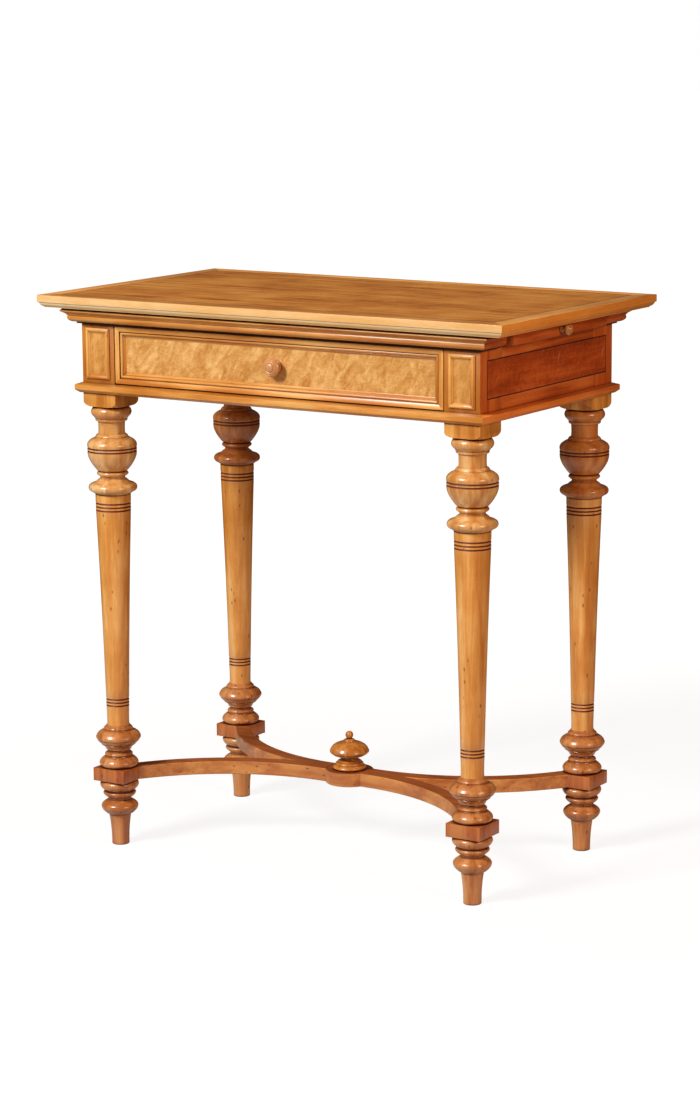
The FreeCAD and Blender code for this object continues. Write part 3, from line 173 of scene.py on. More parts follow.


# %% [markdown]
# ## Floor, background and light
#
# The photograph is a studio shot on white, with a faint shadow under the feet. The white
# comes from Light Path: what the camera sees straight on is white, while the table is lit
# by a plain, softer world. The polish shows the dim room in front of the set, which a third
# background gives to glossy rays. The floor is mostly white to the camera, mixed with a
# diffuse grey that takes the table's shadow. For the polish, a pool of light is painted on
# the floor round the feet, which is what brightens the undersides of the turnings.

# %% World and floor
world = bpy.data.worlds.new("studio")
bpy.context.scene.world = world
world.use_nodes = True
sky = world.node_tree
sky.nodes.clear()
ray = add(sky, "ShaderNodeLightPath")
fill_light = add(sky, "ShaderNodeBackground", {"Color": colour("#ffc090"), "Strength": 0.18})
room_light = add(sky, "ShaderNodeBackground", {"Color": grey(1.0), "Strength": 0.04})
white_light = add(sky, "ShaderNodeBackground", {"Color": grey(1.0), "Strength": 1.0})
by_gloss = add(sky, "ShaderNodeMixShader", {
    0: ray.outputs["Is Glossy Ray"], 1: fill_light.outputs[0], 2: room_light.outputs[0],
})
by_ray = add(sky, "ShaderNodeMixShader", {
    0: ray.outputs["Is Camera Ray"], 1: by_gloss.outputs[0], 2: white_light.outputs[0],
})
add(sky, "ShaderNodeOutputWorld", {"Surface": by_ray.outputs[0]})

floor_paint, tree, output = new_material("pale_studio_floor")
ray = add(tree, "ShaderNodeLightPath")
place = add(tree, "ShaderNodeTexCoord").outputs["Object"]
# How far a point of the floor is from the middle of the table, in metres
reach = add(tree, "ShaderNodeVectorMath", {0: place}, operation="LENGTH").outputs["Value"]
# What the polish sees: a pool of light painted round the feet, which fades to a dark room
painted_light_pool = add(tree, "ShaderNodeMapRange", {
    "Value": reach, "From Min": 0.5, "From Max": 1.7, "To Min": 0.75, "To Max": 0.05,
}).outputs[0]
floor_tone = add(tree, "ShaderNodeMix", {
    0: ray.outputs["Is Glossy Ray"], 6: colour("#a8a8a8"), 7: painted_light_pool,
}, data_type="RGBA")
matt = add(tree, "ShaderNodeBsdfDiffuse", {"Color": floor_tone.outputs[2]})
# What the camera sees: a white that grows away from the lamps' bright spot, to stay even
whiter = add(tree, "ShaderNodeMapRange", {
    "Value": reach, "From Min": 0.6, "From Max": 1.8, "To Min": 1.47, "To Max": 1.67,
}).outputs[0]
seen_white = add(tree, "ShaderNodeEmission", {"Color": grey(1.0), "Strength": whiter})
# How much of the floor is plain white to the camera: the rest takes the shadow
WHITE_SHARE = 0.6
lift = add(
    tree, "ShaderNodeMath", {0: ray.outputs["Is Camera Ray"], 1: WHITE_SHARE}, operation="MULTIPLY"
)
floor_mix = add(tree, "ShaderNodeMixShader", {
    0: lift.outputs[0], 1: matt.outputs[0], 2: seen_white.outputs[0],
})
tree.links.new(floor_mix.outputs[0], output.inputs["Surface"])

bpy.ops.object.select_all(action="DESELECT")
bpy.ops.mesh.primitive_plane_add(size=40, location=(0, 0, 0))
floor = bpy.context.active_object
floor.name = "floor"
edit(floor)
bpy.ops.mesh.subdivide(number_cuts=3)
close()
floor.data.materials.append(floor_paint)
print("floor", floor.dimensions.x, "m wide")

# %% [markdown]
# The knob's shadow falls on the drawer below it and a little to its right, so the main light
# stands in front of the table, to the left and high up. The right end is in the shade, where
# a weak and warmer light keeps its red wood readable.

# %% Lamps
def soft_box(name, place, aim, width, power, tint="#ffffff"):
    """A square area lamp that looks at a point."""
    data = bpy.data.lights.new(name, "AREA")
    data.shape = "SQUARE"
    data.size = width
    data.energy = power
    data.color = colour(tint)[:3]
    lamp = bpy.data.objects.new(name, data)
    bpy.context.scene.collection.objects.link(lamp)
    lamp.location = place
    look = Vector(aim) - Vector(place)
    lamp.rotation_euler = look.to_track_quat("-Z", "Y").to_euler()
    return lamp


key_light = soft_box("key_light", (-1.2, -3.6, 3.1), (0, 0, 0.45), 1.2, 222)
end_light = soft_box("end_light", (3.2, -0.9, 1.6), (0, 0, 0.5), 1.2, 50, "#ffdcb8")
print("lamps:", key_light.name, end_light.name)

# %% [markdown]
# ## The woods
#
# Nearly all of the table is birch under a warm, glossy spirit polish. Birch has a close,
# even grain with soft long streaks, and short brown pith flecks that are its mark. The
# panels are flamed birch veneer, whose wavy fibres shine in soft waves across the grain.
# The thin lines are birch stained black-brown, and the hidden parts are plain pine.
#
# Each wood is one recipe with a few choices: which way the grain runs, and its colours. The
# pattern is stretched along the grain with a Mapping node. It reads Object coordinates, which
# for these pieces are the table's own, so neighbouring pieces never show the same board.

# %% Streaks and fibres
GRAIN_STRETCH = {"x": (0.07, 1, 1), "y": (1, 0.07, 1), "z": (1, 1, 0.07)}


def each(size_mm):
    """The scale of a pattern that changes about once in so many millimetres."""
    return 1000 / size_mm


def streaks_and_fibres(tree, place, grain, streak_mm, seed):
    """The streaks of the year rings and the fibres, both drawn out along the grain."""
    along = add(tree, "ShaderNodeMapping", {
        "Vector": place, "Location": (seed, seed * 0.7, seed * 1.3),
        "Scale": GRAIN_STRETCH[grain],
    }).outputs[0]
    streak = add(tree, "ShaderNodeTexNoise", {
        "Vector": along, "Scale": each(streak_mm), "Detail": 4.0, "Roughness": 0.6,
        "Distortion": 0.4,
    }).outputs["Fac"]
    # Single fibres are 0.1 mm wide, too fine to show, so they are drawn 0.8 mm apart
    fibre = add(tree, "ShaderNodeTexNoise", {
        "Vector": along, "Scale": each(0.8), "Detail": 2.0, "Roughness": 0.7,
    }).outputs["Fac"]
    return streak, fibre


# %% [markdown]
# Flamed veneer needs one thing more. Its fibres rise and dip, so bands across the grain look
# light or dark. The bands are short, soft and slanted: a noise stretched along a leaning
# line gives them, and a finer one breaks them up. TEXTURE mapping turns the pattern after it
# has stretched it, so that the stretch leans too.

# %% Flame figure
def flame_tone(tree, place, tone, grain, strength, width_mm, lean):
    """Mix the leaning bands and the small mottle of flamed birch into a tone of 0 to 1."""
    turns = {"x": (0, 1, 0), "y": (-1, 0, 0), "z": (0, 1, 0), "top": (0, 0, 1)}[grain]
    leaning = add(tree, "ShaderNodeMapping", {
        "Vector": place, "Rotation": [turn * math.radians(lean) for turn in turns],
        "Scale": (1, 2.4, 1) if grain == "top" else (1, 1, 2.4),
    }, vector_type="TEXTURE").outputs[0]
    band = add(tree, "ShaderNodeTexNoise", {
        "Vector": leaning, "Scale": each(width_mm), "Detail": 4.0, "Roughness": 0.5,
        "Distortion": 1.0,
    }).outputs["Fac"]
    mottle = add(tree, "ShaderNodeTexNoise", {
        "Vector": place, "Scale": each(5), "Detail": 4.0, "Roughness": 0.65, "Distortion": 1.2,
    }).outputs["Fac"]
    mix = {0: 0.45, 2: band, 3: mottle}
    figure = add(tree, "ShaderNodeMix", mix, data_type="FLOAT").outputs[0]
    mix = {0: strength, 2: tone, 3: figure}
    return add(tree, "ShaderNodeMix", mix, data_type="FLOAT").outputs[0]


# %% [markdown]
# Flecks and scuffs are marks strewn over the wood. A Voronoi pattern parts it into cells. A
# cell's random colour decides whether it gets a mark, and the distance from the cell's
# middle shapes the mark. Where the pattern is drawn out, the marks are long.

# %% Small marks in the cells of a pattern
def marked(tree, body, place, cell_mm, share, size_mm, strength, shade):
    """Put a soft mark of a colour in the middle of some of a pattern's cells."""
    cells = add(tree, "ShaderNodeTexVoronoi", {"Vector": place, "Scale": each(cell_mm)})
    chosen = add(tree, "ShaderNodeMapRange", {
        "Value": cells.outputs["Color"], "From Min": 1 - share, "From Max": 1.08 - share,
    }).outputs[0]
    near = add(tree, "ShaderNodeMapRange", {
        "Value": cells.outputs["Distance"], "From Min": 0.3 * size_mm / cell_mm,
        "From Max": 0.9 * size_mm / cell_mm, "To Min": strength, "To Max": 0.0,
    }).outputs[0]
    mask = add(tree, "ShaderNodeMath", {0: chosen, 1: near}, operation="MULTIPLY").outputs[0]
    mix = {0: mask, 6: body, 7: colour(shade)}
    return add(tree, "ShaderNodeMix", mix, data_type="RGBA").outputs[2]


# %% [markdown]
# Age and polish come last. The corners of the mouldings are darkened with a painted shade,
# which stands for the shade that falls there and for old wax, and Ambient Occlusion finds
# those corners. The polish is a thin clear coat, shinier in some places than in others, over
# fibres that can just be felt.

# %% Painted corner shade, old wax and polish
def wax_and_corner_shade(tree, body, wax_and_shade):
    """Paint shade, and old wax, into the corners that a cloth doesn't reach."""
    corner = add(
        tree, "ShaderNodeAmbientOcclusion", {"Distance": 5 * MM}, samples=8
    ).outputs["AO"]
    # How much painted shade and old wax a corner gets, from Ambient Occlusion
    wax_and_shade_mask = add(tree, "ShaderNodeMapRange", {
        "Value": corner, "From Min": 0.4, "From Max": 0.82, "To Min": wax_and_shade, "To Max": 0.0,
    }).outputs[0]
    mix = {0: wax_and_shade_mask, 6: body, 7: colour("#561a06")}
    return add(tree, "ShaderNodeMix", mix, data_type="RGBA").outputs[2]


def polished(tree, body, cloud, fibre, roughness, coat):
    """Spirit polish over the wood, as the shader that the material puts out."""
    uneven = add(tree, "ShaderNodeMapRange", {
        "Value": cloud, "From Min": 0.3, "From Max": 0.7, "To Min": roughness - 0.05,
        "To Max": roughness + 0.07,
    }).outputs[0]
    relief = add(
        tree, "ShaderNodeBump", {"Strength": 0.25, "Distance": 0.05 * MM, "Height": fibre}
    ).outputs[0]
    return add(tree, "ShaderNodeBsdfPrincipled", {
        "Base Color": body, "Roughness": uneven, "IOR": 1.5, "Coat Weight": coat,
        "Coat Roughness": 0.16, "Normal": relief,
    }).outputs[0]


# %% [markdown]
# The recipe puts these together. The tone, from the streaks and from clouds as wide as a
# hand, runs through three colours, and more contrast sets their places closer together.

# %% The birch recipe
def birch(
    name, grain, deep, middle, pale, fleck="#6b2f10", fleck_share=0.2, fleck_mm=1.0,
    contrast=1.2, streak_mm=12.0, scuffs=0.0, wax_and_shade=1.0, flame=0.0, flame_width_mm=8.0,
    flame_plane=None, lean=35, seed=0.0, roughness=0.36, coat=0.25,
):
    """Polished birch: streaks, fibres, pith flecks, and waves where it is flamed."""
    material, tree, output = new_material(name)
    place = add(tree, "ShaderNodeTexCoord").outputs["Object"]
    streak, fibre = streaks_and_fibres(tree, place, grain, streak_mm, seed)
    # Clouds 90 mm wide, where the polish has mellowed unevenly
    cloud = add(
        tree, "ShaderNodeTexNoise", {"Vector": place, "Scale": each(90), "Detail": 3.0}
    ).outputs["Fac"]
    tone = add(tree, "ShaderNodeMix", {0: 0.35, 2: streak, 3: cloud}, data_type="FLOAT").outputs[0]
    if flame:
        tone = flame_tone(tree, place, tone, flame_plane or grain, flame, flame_width_mm, lean)
    spread = 0.16 / contrast
    body = stops(
        add(tree, "ShaderNodeValToRGB", {"Fac": tone}),
        (0.5 - spread, colour(deep)),
        (0.5, colour(middle)),
        (0.5 + spread, colour(pale)),
    ).outputs["Color"]
    fibre_shade = add(tree, "ShaderNodeMapRange", {
        "Value": fibre, "From Min": 0.3, "From Max": 0.7, "To Min": 0.9, "To Max": 1.06,
    }).outputs[0]
    body = add(tree, "ShaderNodeMix", {
        0: 1.0, 6: body, 7: fibre_shade,
    }, data_type="RGBA", blend_type="MULTIPLY").outputs[2]
    # Pith flecks, longer along the grain
    drawn_out = [0.4 if stretch < 1 else 1.0 for stretch in GRAIN_STRETCH[grain]]
    fleck_place = add(
        tree, "ShaderNodeMapping", {"Vector": place, "Scale": drawn_out}
    ).outputs[0]
    body = marked(tree, body, fleck_place, 5.5, fleck_share, fleck_mm, 0.85, fleck)
    if scuffs:
        # Fine pale scratches that lean, where the table's end was rubbed and knocked
        scuff_place = add(tree, "ShaderNodeMapping", {
            "Vector": place, "Rotation": (math.radians(-24), 0, 0), "Scale": (1, 1, 9),
        }, vector_type="TEXTURE").outputs[0]
        body = marked(tree, body, scuff_place, 6, scuffs, 1.2, 0.8, "#dc9460")
    body = wax_and_corner_shade(tree, body, wax_and_shade)
    surface = polished(tree, body, cloud, fibre, roughness, coat)
    tree.links.new(surface, output.inputs["Surface"])
    return material


# %% [markdown]
# Now the finishes themselves. Framing and mouldings run along X, Y or Z, so the same birch
# is mixed three times with its grain turned. The ends are redder than the front, partly a
# redder polish and partly painted shade. The lower turnings of the legs are darkened with
# painted shade, and the top's front edge is the palest.

# %% Wood for framing and turnings
def each_way(name, *colours, grains="xyz", seed=0, seed_step=0, **choices):
    """One birch with its grain turned along each of some axes."""
    return {
        grain: birch(name + "_" + grain, grain, *colours, seed=seed + i * seed_step, **choices)
        for i, grain in enumerate(grains)
    }


# Orange birch with soft streaks: the warm colour that holds the table together
framing = each_way("polished_birch", "#ba7024", "#d48e3e", "#e6ae5e", contrast=1.4, seed_step=1)
# The same under a redder polish and a painted shade, which makes the table's end look deep and in
# shade
end_framing_red_shaded = each_way(
    "red_polished_shaded_birch", "#a84812", "#c46022", "#d67430", contrast=1.4, seed=3, seed_step=1
)
# Bigger flecks, and a wetter shine that draws bright lines on the beads
turned_birch = birch(
    "turned_birch", "z", "#c47828", "#da9646", "#ebb46c", fleck="#6e2c0c", fleck_share=0.34,
    fleck_mm=1.5, contrast=1.4, seed=7, roughness=0.32, coat=0.5,
)
# Darker and browner, a painted shade on the turnings below the shaft, so the legs end darker than
# they begin
foot_birch_shaded = birch(
    "turned_birch_low_shaded", "z", "#a8632e", "#c47e44", "#d09258", fleck="#5a2208", fleck_share=0.42,
    fleck_mm=1.8, contrast=1.7, seed=17, coat=0.5,
)
# Creamier, a painted light for the urns of the front legs, which catch the lamp
urn_birch_lit = birch(
    "turned_birch_high_lit", "z", "#c27e3c", "#d8a05c", "#ecc088", fleck="#6e2c0c", fleck_share=0.3,
    fleck_mm=1.2, contrast=1.5, seed=21, roughness=0.32, coat=0.5,
)
# Redder, a painted shade for the urns of the back legs, in the shade of the case
shaded_birch = birch(
    "turned_birch_back", "z", "#a45a24", "#c07434", "#d4904e", fleck="#5a2208", fleck_share=0.3,
    fleck_mm=1.2, contrast=1.4, seed=22, roughness=0.32, coat=0.5,
)
# Busy with flecks, so the finial stands out from the arms below it
finial_birch = birch(
    "finial_birch", "z", "#a8601e", "#c67e34", "#d6944a", fleck="#5a2208", fleck_share=0.4,
    fleck_mm=1.6, contrast=1.7, seed=18, coat=0.5,
)
# Olive brown, a quiet ground that sets off the post's veneered panel
head_birch = birch("leg_head_birch", "z", "#9c5810", "#b0691c", "#c07a2a", seed=19)
# A light orange moulding, which draws a bright line under the red end
base_birch = birch("end_base_birch", "y", "#cc6826", "#e47e34", "#f09448", seed=20)
# Duller and browner than the turnings, so the blocks look sawn and planed
square_birch = birch(
    "square_birch", "z", "#9c4e1e", "#b2642e", "#c27840", fleck="#5a2208", fleck_share=0.4,
    fleck_mm=1.6, contrast=1.5, seed=10,
)
# Brown and without shine, for the level tops of blocks, arms and slides
level_birch = birch(
    "birch_seen_from_above", "x", "#8a4418", "#9e5424", "#b06630", fleck_share=0.34, seed=16,
    roughness=0.5, coat=0.0,
)
# The sawn faces of the arms, between the turnings and the blocks in colour
arm_birch = birch(
    "stretcher_birch", "x", "#ac6230", "#c27a3e", "#d4924e", fleck="#5a2208", fleck_share=0.38,
    fleck_mm=1.4, contrast=1.5, seed=8,
)
# Rubbed smooth by fingers: pinkish, close and the glossiest wood
knob_birch = birch(
    "knob_birch", "z", "#b07040", "#c88a54", "#d8a068", fleck_share=0.1, seed=15, coat=0.6
)
print("woods for framing and turnings:", len(bpy.data.materials))

# %% Veneers, edges and hidden wood
# Leaning waves 11 mm wide, which make the flat drawer front shimmer
front_veneer = birch(
    "flamed_birch_front", "x", "#b8752e", "#cf9850", "#e6b672", fleck="#9a5a20",
    fleck_share=0.3, contrast=1.3, flame=0.85, flame_width_mm=11, lean=30, seed=2,
)
# The same figure, half hidden, so the small panels don't outshine the drawer
post_veneer = birch(
    "flamed_birch_posts", "z", "#ac6c24", "#c68a40", "#dca45a", contrast=1.5, flame=0.5, seed=5,
)
# Deep red and finely mottled, partly a painted shade of the table's end, with pale scratches that
# show its age
end_veneer_shaded = birch(
    "flamed_birch_ends_shaded", "y", "#8c3810", "#b04a16", "#cc6426", contrast=1.7, scuffs=0.42,
    flame=0.4, flame_width_mm=4, seed=6,
)
# Fine brown streaks under a worn polish, so the top looks used and not mirror-like
top_veneer = birch(
    "flamed_birch_top", "x", "#b0601e", "#d68c3c", "#e8a650", fleck="#8a3c10", fleck_share=0.24,
    contrast=1.5, streak_mm=7.0, flame=0.15, flame_width_mm=6, flame_plane="top", seed=9,
    roughness=0.45, coat=0.0,
)
# Lighter than the panel inside it, so the border reads as a frame
top_border_wood = each_way(
    "top_border_birch", "#cc8840", "#e8a658", "#f4b66c", grains="xy", seed=11,
    roughness=0.45, coat=0.0,
)
# The straw-coloured front edge, the brightest line of the table
pale_edge = birch(
    "pale_birch_edge", "x", "#dca85c", "#e6b779", "#f0c68e", fleck_share=0.1, seed=12
)
# Cream and with little corner shade: painted light, to make up for the little light in the hollow
# under the edge
painted_light_cove = birch(
    "birch_cove_painted_light", "x", "#f6cc84", "#ffdc9c", "#ffe6b0", fleck_share=0.0, wax_and_shade=0.15,
    seed=12,
)
# The orange edge of the ends, between the pale front and the red frieze
end_edge = birch(
    "top_edge_birch", "y", "#d8802c", "#ea963e", "#f2a850", fleck_share=0.1, wax_and_shade=0.4, seed=13,
)
# Blackened birch, matt, for lines that part the panels from their frames
dark_line = birch(
    "blackened_birch", "x", "#240c05", "#341308", "#441a0b", fleck_share=0.0, roughness=0.7,
    coat=0.0,
)
# Red-brown stain in the cut rings, softer than black, as if it was rubbed in
dark_score = birch(
    "stained_score", "z", "#5a1e08", "#6a260c", "#7a3010", fleck_share=0.0, roughness=0.5,
    coat=0.0,
)
# Pale, dry and unpolished, so the inside looks like the inside
plain_pine = each_way(
    "plain_pine", "#c49a62", "#d6b07a", "#e2c08e", fleck_share=0.0, seed=14,
    roughness=0.55, coat=0.0,
)
print("finishes:", len(bpy.data.materials))

# %% [markdown]
# ## Turned work
#
# A turner cuts a leg while it spins, so its shape is one outline carried round an axis. We
# do the same: a point is drawn up the outline, corner by corner, and Spin carries it round.
# The outline is a list of radius and height. `bend` fills in a smooth curve through three of
# its points, for the beads and hollows.

# %% Draw and spin an outline
def bend(start, middle, end, steps):
    """Points of a smooth curve from start through middle to end, without the start."""
    pull = [2 * m - (a + b) / 2 for a, m, b in zip(start, middle, end)]
    points = []
    for step in range(1, steps + 1):
        t = step / steps
        first, second, third = (1 - t) ** 2, 2 * t * (1 - t), t**2
        corners = zip(start, pull, end)
        points.append(tuple(first * a + second * c + third * b for a, c, b in corners))
    return points


def extrude(x, y, z):
    """Draw out what is selected, by millimetres."""
    bpy.ops.mesh.extrude_region_move(TRANSFORM_OT_translate={"value": mm(x, y, z)})


def draw(name, points):
    """Draw a line through points in millimetres, in edit mode, from one merged point."""
    bpy.ops.object.select_all(action="DESELECT")
    bpy.ops.mesh.primitive_plane_add(size=MM)
    piece = bpy.context.active_object
    piece.name = name
    edit(piece)
    bpy.ops.mesh.merge(type="CENTER")
    bpy.ops.transform.translate(value=mm(*points[0]))
    for here, there in zip(points, points[1:]):
        extrude(*(b - a for a, b in zip(here, there)))
    return piece


def weld_and_close():
    """Merge points that meet, turn all faces outward and leave edit mode."""
    take_all()
    bpy.ops.mesh.remove_doubles(threshold=0.002 * MM)
    bpy.ops.mesh.normals_make_consistent(inside=False)
    close()


def turn(name, outline, steps=96):
    """Spin an outline of radius and height round the Z axis into a closed solid."""
    piece = draw(name, [(radius, 0, height) for radius, height in outline])
    take_all()
    bpy.ops.mesh.spin(steps=steps, angle=2 * math.pi, center=(0, 0, 0), axis=(0, 0, 1))
    weld_and_close()
    return piece


# %% [markdown]
# The leg's outline, from the floor up: a plain foot, a wheel, a small pearl and a cushion
# below the square block; a cushion, a narrow neck, a bowl with a sharp rim and a dome above
# it; the tapered shaft with its three scored rings at each end; then a mushroom, a pearl, the
# urn with two scored lines, a collar, a neck and the torus under the square head.

# %% The leg's outline
LOW_RINGS = (189.4, 193.6, 197.8)
HIGH_RINGS = (449.8, 454.3, 458.8)
URN_LINES = (527.2, 531.2)


def scored(radius, heights, depth=0.8, half_width=1.1):
    """Small V grooves cut with the point of the chisel."""
    points = []
    for height in heights:
        points.append((radius, height - half_width))
        points.append((radius - depth, height))
        points.append((radius, height + half_width))
    return points


leg_outline = [
    (0, 0), (10.8, 0), (11.5, 0.8),
    *bend((11.5, 0.8), (12.2, 22), (14.7, 41.6), 8),
    (14.5, 42.2), (17.6, 42.6),
    *bend((17.6, 42.6), (22.4, 47.2), (24.4, 51.8), 6),
    *bend((24.4, 51.8), (22.4, 56.4), (15.2, 61.2), 8),
    (14.2, 61.8), (14.2, 63.2), (15.2, 63.6),
    *bend((15.2, 63.6), (21.4, 69.2), (19.4, 72.6), 9),
    (18.2, 73.0), (18.2, 73.8), (19.8, 74.0),
    *bend((19.8, 74.0), (25.6, 81.6), (21.2, 87.7), 10),
    (20.8, 89.0), (20.8, 104.5), (21.4, 105.7),
    *bend((21.4, 105.7), (25.7, 112.0), (19.4, 119.4), 10),
    (17.2, 119.8), (16.8, 120.8),
    *bend((16.8, 120.8), (18.4, 123.2), (16.4, 125.5), 5),
    (15.2, 125.8),
    *bend((15.2, 125.8), (13.2, 127.8), (14.8, 129.3), 5),
    (16.6, 129.6), (16.8, 130.6),
    *bend((16.8, 130.6), (19.0, 133.6), (22.4, 136.2), 5),
    (22.0, 136.9), (22.6, 137.2),
    *bend((22.6, 137.2), (25.6, 139.6), (28.0, 142.8), 5),
    (27.6, 143.3), (28.8, 143.8), (29.4, 145.2), (29.4, 147.2), (28.9, 148.1),
    *bend((28.9, 148.1), (25.8, 152.6), (20.4, 155.4), 7),
    (18.8, 155.8), (18.6, 156.6),
    *bend((18.6, 156.6), (19.0, 158.4), (17.4, 160.2), 5),
    (16.2, 160.6), (15.8, 162.2), (14.7, 162.8),
    *bend((14.7, 162.8), (14.5, 172), (14.95, 187.6), 5),
    *scored(15.1, LOW_RINGS),
    *bend((15.2, 199.4), (18.3, 322), (22.6, 447.4), 16),
    *scored(22.8, HIGH_RINGS),
    (22.9, 461.5), (23.0, 469.8), (22.3, 470.6), (22.3, 471.6), (24.8, 472.0), (25.3, 473.2),
    *bend((25.3, 473.2), (29.6, 475.0), (31.6, 478.6), 6),
    *bend((31.6, 478.6), (30.4, 482.6), (26.0, 485.2), 6),
    (21.8, 486.6), (20.4, 488.4), (18.8, 489.6), (17.8, 490.4),
    *bend((17.8, 490.4), (15.9, 492.1), (16.8, 494.0), 4),
    *bend((16.8, 494.0), (20.5, 497.2), (18.2, 500.4), 8),
    (17.6, 501.0), (19.8, 501.6),
    *bend((19.8, 501.6), (27.7, 512.2), (31.6, 522.0), 12),
    (31.9, 524.6),
    *scored(32.0, URN_LINES),
    *bend((31.9, 533.0), (30.6, 539.2), (22.6, 544.6), 10),
    (21.2, 544.9),
    *bend((21.2, 544.9), (20.8, 547.2), (18.6, 549.0), 4),
    (17.4, 549.4),
    *bend((17.4, 549.4), (17.1, 557.0), (17.5, 565.2), 5),
    (20.4, 566.6), (20.9, 568.8), (20.3, 569.6), (21.6, 570.4), (22.4, 571.6),
    *bend((22.4, 571.6), (26.2, 577.6), (23.2, 584.4), 10),
    (22.2, 585.0), (22.2, 590), (0, 590),
]
print("leg outline:", len(leg_outline), "points")

# %% [markdown]
# The square head of the leg is a plain block, but its lower corners were turned off when the
# torus was cut, which leaves a curve on each face. A lathe-turned bell kept in common with
# the block gives exactly that curve. The outer side is sunk by a millimetre for the veneer
# panel of the table's end.

# %% Blocks, and one solid cut by another
def box(name, low, high, ease=0.0):
    """A block between two corners in millimetres, with eased edges if asked."""
    size = [b - a for a, b in zip(low, high)]
    middle = [(a + b) / 2 for a, b in zip(low, high)]
    bpy.ops.object.select_all(action="DESELECT")
    bpy.ops.mesh.primitive_cube_add(size=1, location=mm(*middle), scale=mm(*size))
    piece = bpy.context.active_object
    piece.name = name
    fix_place(piece)
    if ease:
        edit(piece)
        bpy.ops.mesh.bevel(offset=ease * MM, segments=2, affect="EDGES")
        close()
    return piece


def common_or_cut(piece, tool, kind):
    """Keep what a piece has in common with a tool, or cut the tool from it."""
    pick(piece)
    change = piece.modifiers.new("cut", "BOOLEAN")
    change.operation = kind
    change.solver = "EXACT"
    change.object = tool
    bpy.ops.object.modifier_apply(modifier=change.name)
    bpy.data.objects.remove(tool)


def join(name, pieces):
    """Join pieces into one object."""
    bpy.ops.object.select_all(action="DESELECT")
    for piece in pieces:
        piece.select_set(True)
    bpy.context.view_layer.objects.active = pieces[0]
    bpy.ops.object.join()
    pieces[0].name = name
    return pieces[0]


# %% Turn one leg and square its head
# Half the width of block and head, the block's height, and where the case begins
BLOCK, HEAD = 24.4, 25.25
BLOCK_FOOT, BLOCK_TOP, CASE_FOOT = 88.0, 105.5, 604.3
LEG_X, LEG_Y = 270.25, 142.45
HEAD_FOOT, HEAD_TOP = 586.0, 693.5
leg_turning = turn("leg_turning", leg_outline)
leg_block = box("leg_block", (-BLOCK, -BLOCK, BLOCK_FOOT), (BLOCK, BLOCK, BLOCK_TOP), ease=0.5)
leg_head = box("leg_head", (-HEAD, -HEAD, HEAD_FOOT), (HEAD, HEAD, HEAD_TOP), ease=0.4)
bell_outline = [
    (0, 585.9), (25.4, 585.9),
    *bend((25.4, 585.9), (32.2, 587.6), (35.8, 592.6), 8),
    (37, 594), (37, 694), (0, 694),
]
bell = turn("bell", bell_outline, 128)
common_or_cut(leg_head, bell, "INTERSECT")
# The sunk field starts 16.4 mm from the front corner, between these heights
FIELD_EDGE, FIELD_FOOT, FIELD_TOP = 16.4 - HEAD, 632.6, 680.6
sinking = box("sinking", (HEAD - 1, FIELD_EDGE, FIELD_FOOT), (HEAD + 5, HEAD + 5, FIELD_TOP))
common_or_cut(leg_head, sinking, "DIFFERENCE")
edit(leg_head)
bpy.ops.mesh.bisect(plane_co=mm(0, 0, CASE_FOOT), plane_no=(0, 0, 1))
close()
print("leg head has", len(leg_head.data.polygons), "faces")

# %% [markdown]
# Three helpers finish every piece from here on: one gives it its woods, one shows another
# wood on chosen faces, and one makes it stand for a CAD piece and move with its body.

# %% Helpers to finish a piece
def paint(piece, *materials):
    """Give a piece its materials, the first of them all over."""
    piece.data.materials.clear()
    for material in materials:
        piece.data.materials.append(material)


def paint_faces(piece, slot_number, wanted):
    """Show another of its materials on the faces that a test picks."""
    for face in piece.data.polygons:
        if wanted(face):
            face.material_index = slot_number


def stand_in(piece, node, body="table"):
    """Let a piece stand for a CAD piece, which it hides, and ride with a body."""
    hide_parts(node)
    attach(piece, body)


# %% [markdown]
# The scored rings were blackened with a hot wire or a touch of stain. The leg is painted in
# several shades besides: a foot darkened with painted shade, a paler urn with painted light on
# the front legs and painted shade on the back ones, and a dull block. A finished leg carries all
# these woods, and its faces choose among them by their height and by the way they look. On the
# head, the faces that look out of the table's end get the redder polish with painted shade.

# %% Give the leg its woods
SHAFT_FOOT, SHAFT_TOP = 162.8, 471.0


def in_scored_ring(face):
    """Whether a face of the turning lies in one of the grooves."""
    rings = LOW_RINGS + HIGH_RINGS + URN_LINES
    return any(abs(face.center.z / MM - ring) < 0.7 for ring in rings)


def looks_up(face):
    """Whether a face is level and looks up."""
    return face.normal.z > 0.9


def in_case(face):
    """Whether a face of the head is part of the case, above its base moulding's foot."""
    return face.center.z / MM > CASE_FOOT


LEG_WOODS = {
    "shaft": turned_birch,
    "score": dark_score,
    # The head's end faces: redder polish with painted shade
    "head_end": end_framing_red_shaded["z"],
    "head": head_birch,
    "block": square_birch,
    "foot": foot_birch_shaded,
    "level": level_birch,
    "neck": framing["z"],
    "urn": urn_birch_lit,
}
slot_of = {wood: number for number, wood in enumerate(LEG_WOODS)}
for part in (leg_turning, leg_block, leg_head):
    paint(part, *LEG_WOODS.values())
for part, wood, wanted in (
    # Below the shaft: painted shade
    (leg_turning, "foot", lambda face: face.center.z / MM < SHAFT_FOOT),
    # Above the shaft: painted light on the urn
    (leg_turning, "urn", lambda face: face.center.z / MM > SHAFT_TOP),
    (leg_turning, "score", in_scored_ring),
    (leg_block, "block", lambda face: True),
    (leg_block, "level", looks_up),
    (leg_head, "neck", lambda face: True),
    (leg_head, "head", in_case),
    (leg_head, "head_end", lambda face: abs(face.normal.x) > 0.8 and in_case(face)),
):
    paint_faces(part, slot_of[wood], wanted)
first_leg = join("first_leg", [leg_turning, leg_block, leg_head])
smooth(first_leg)
print("woods on a leg:", ", ".join(LEG_WOODS))

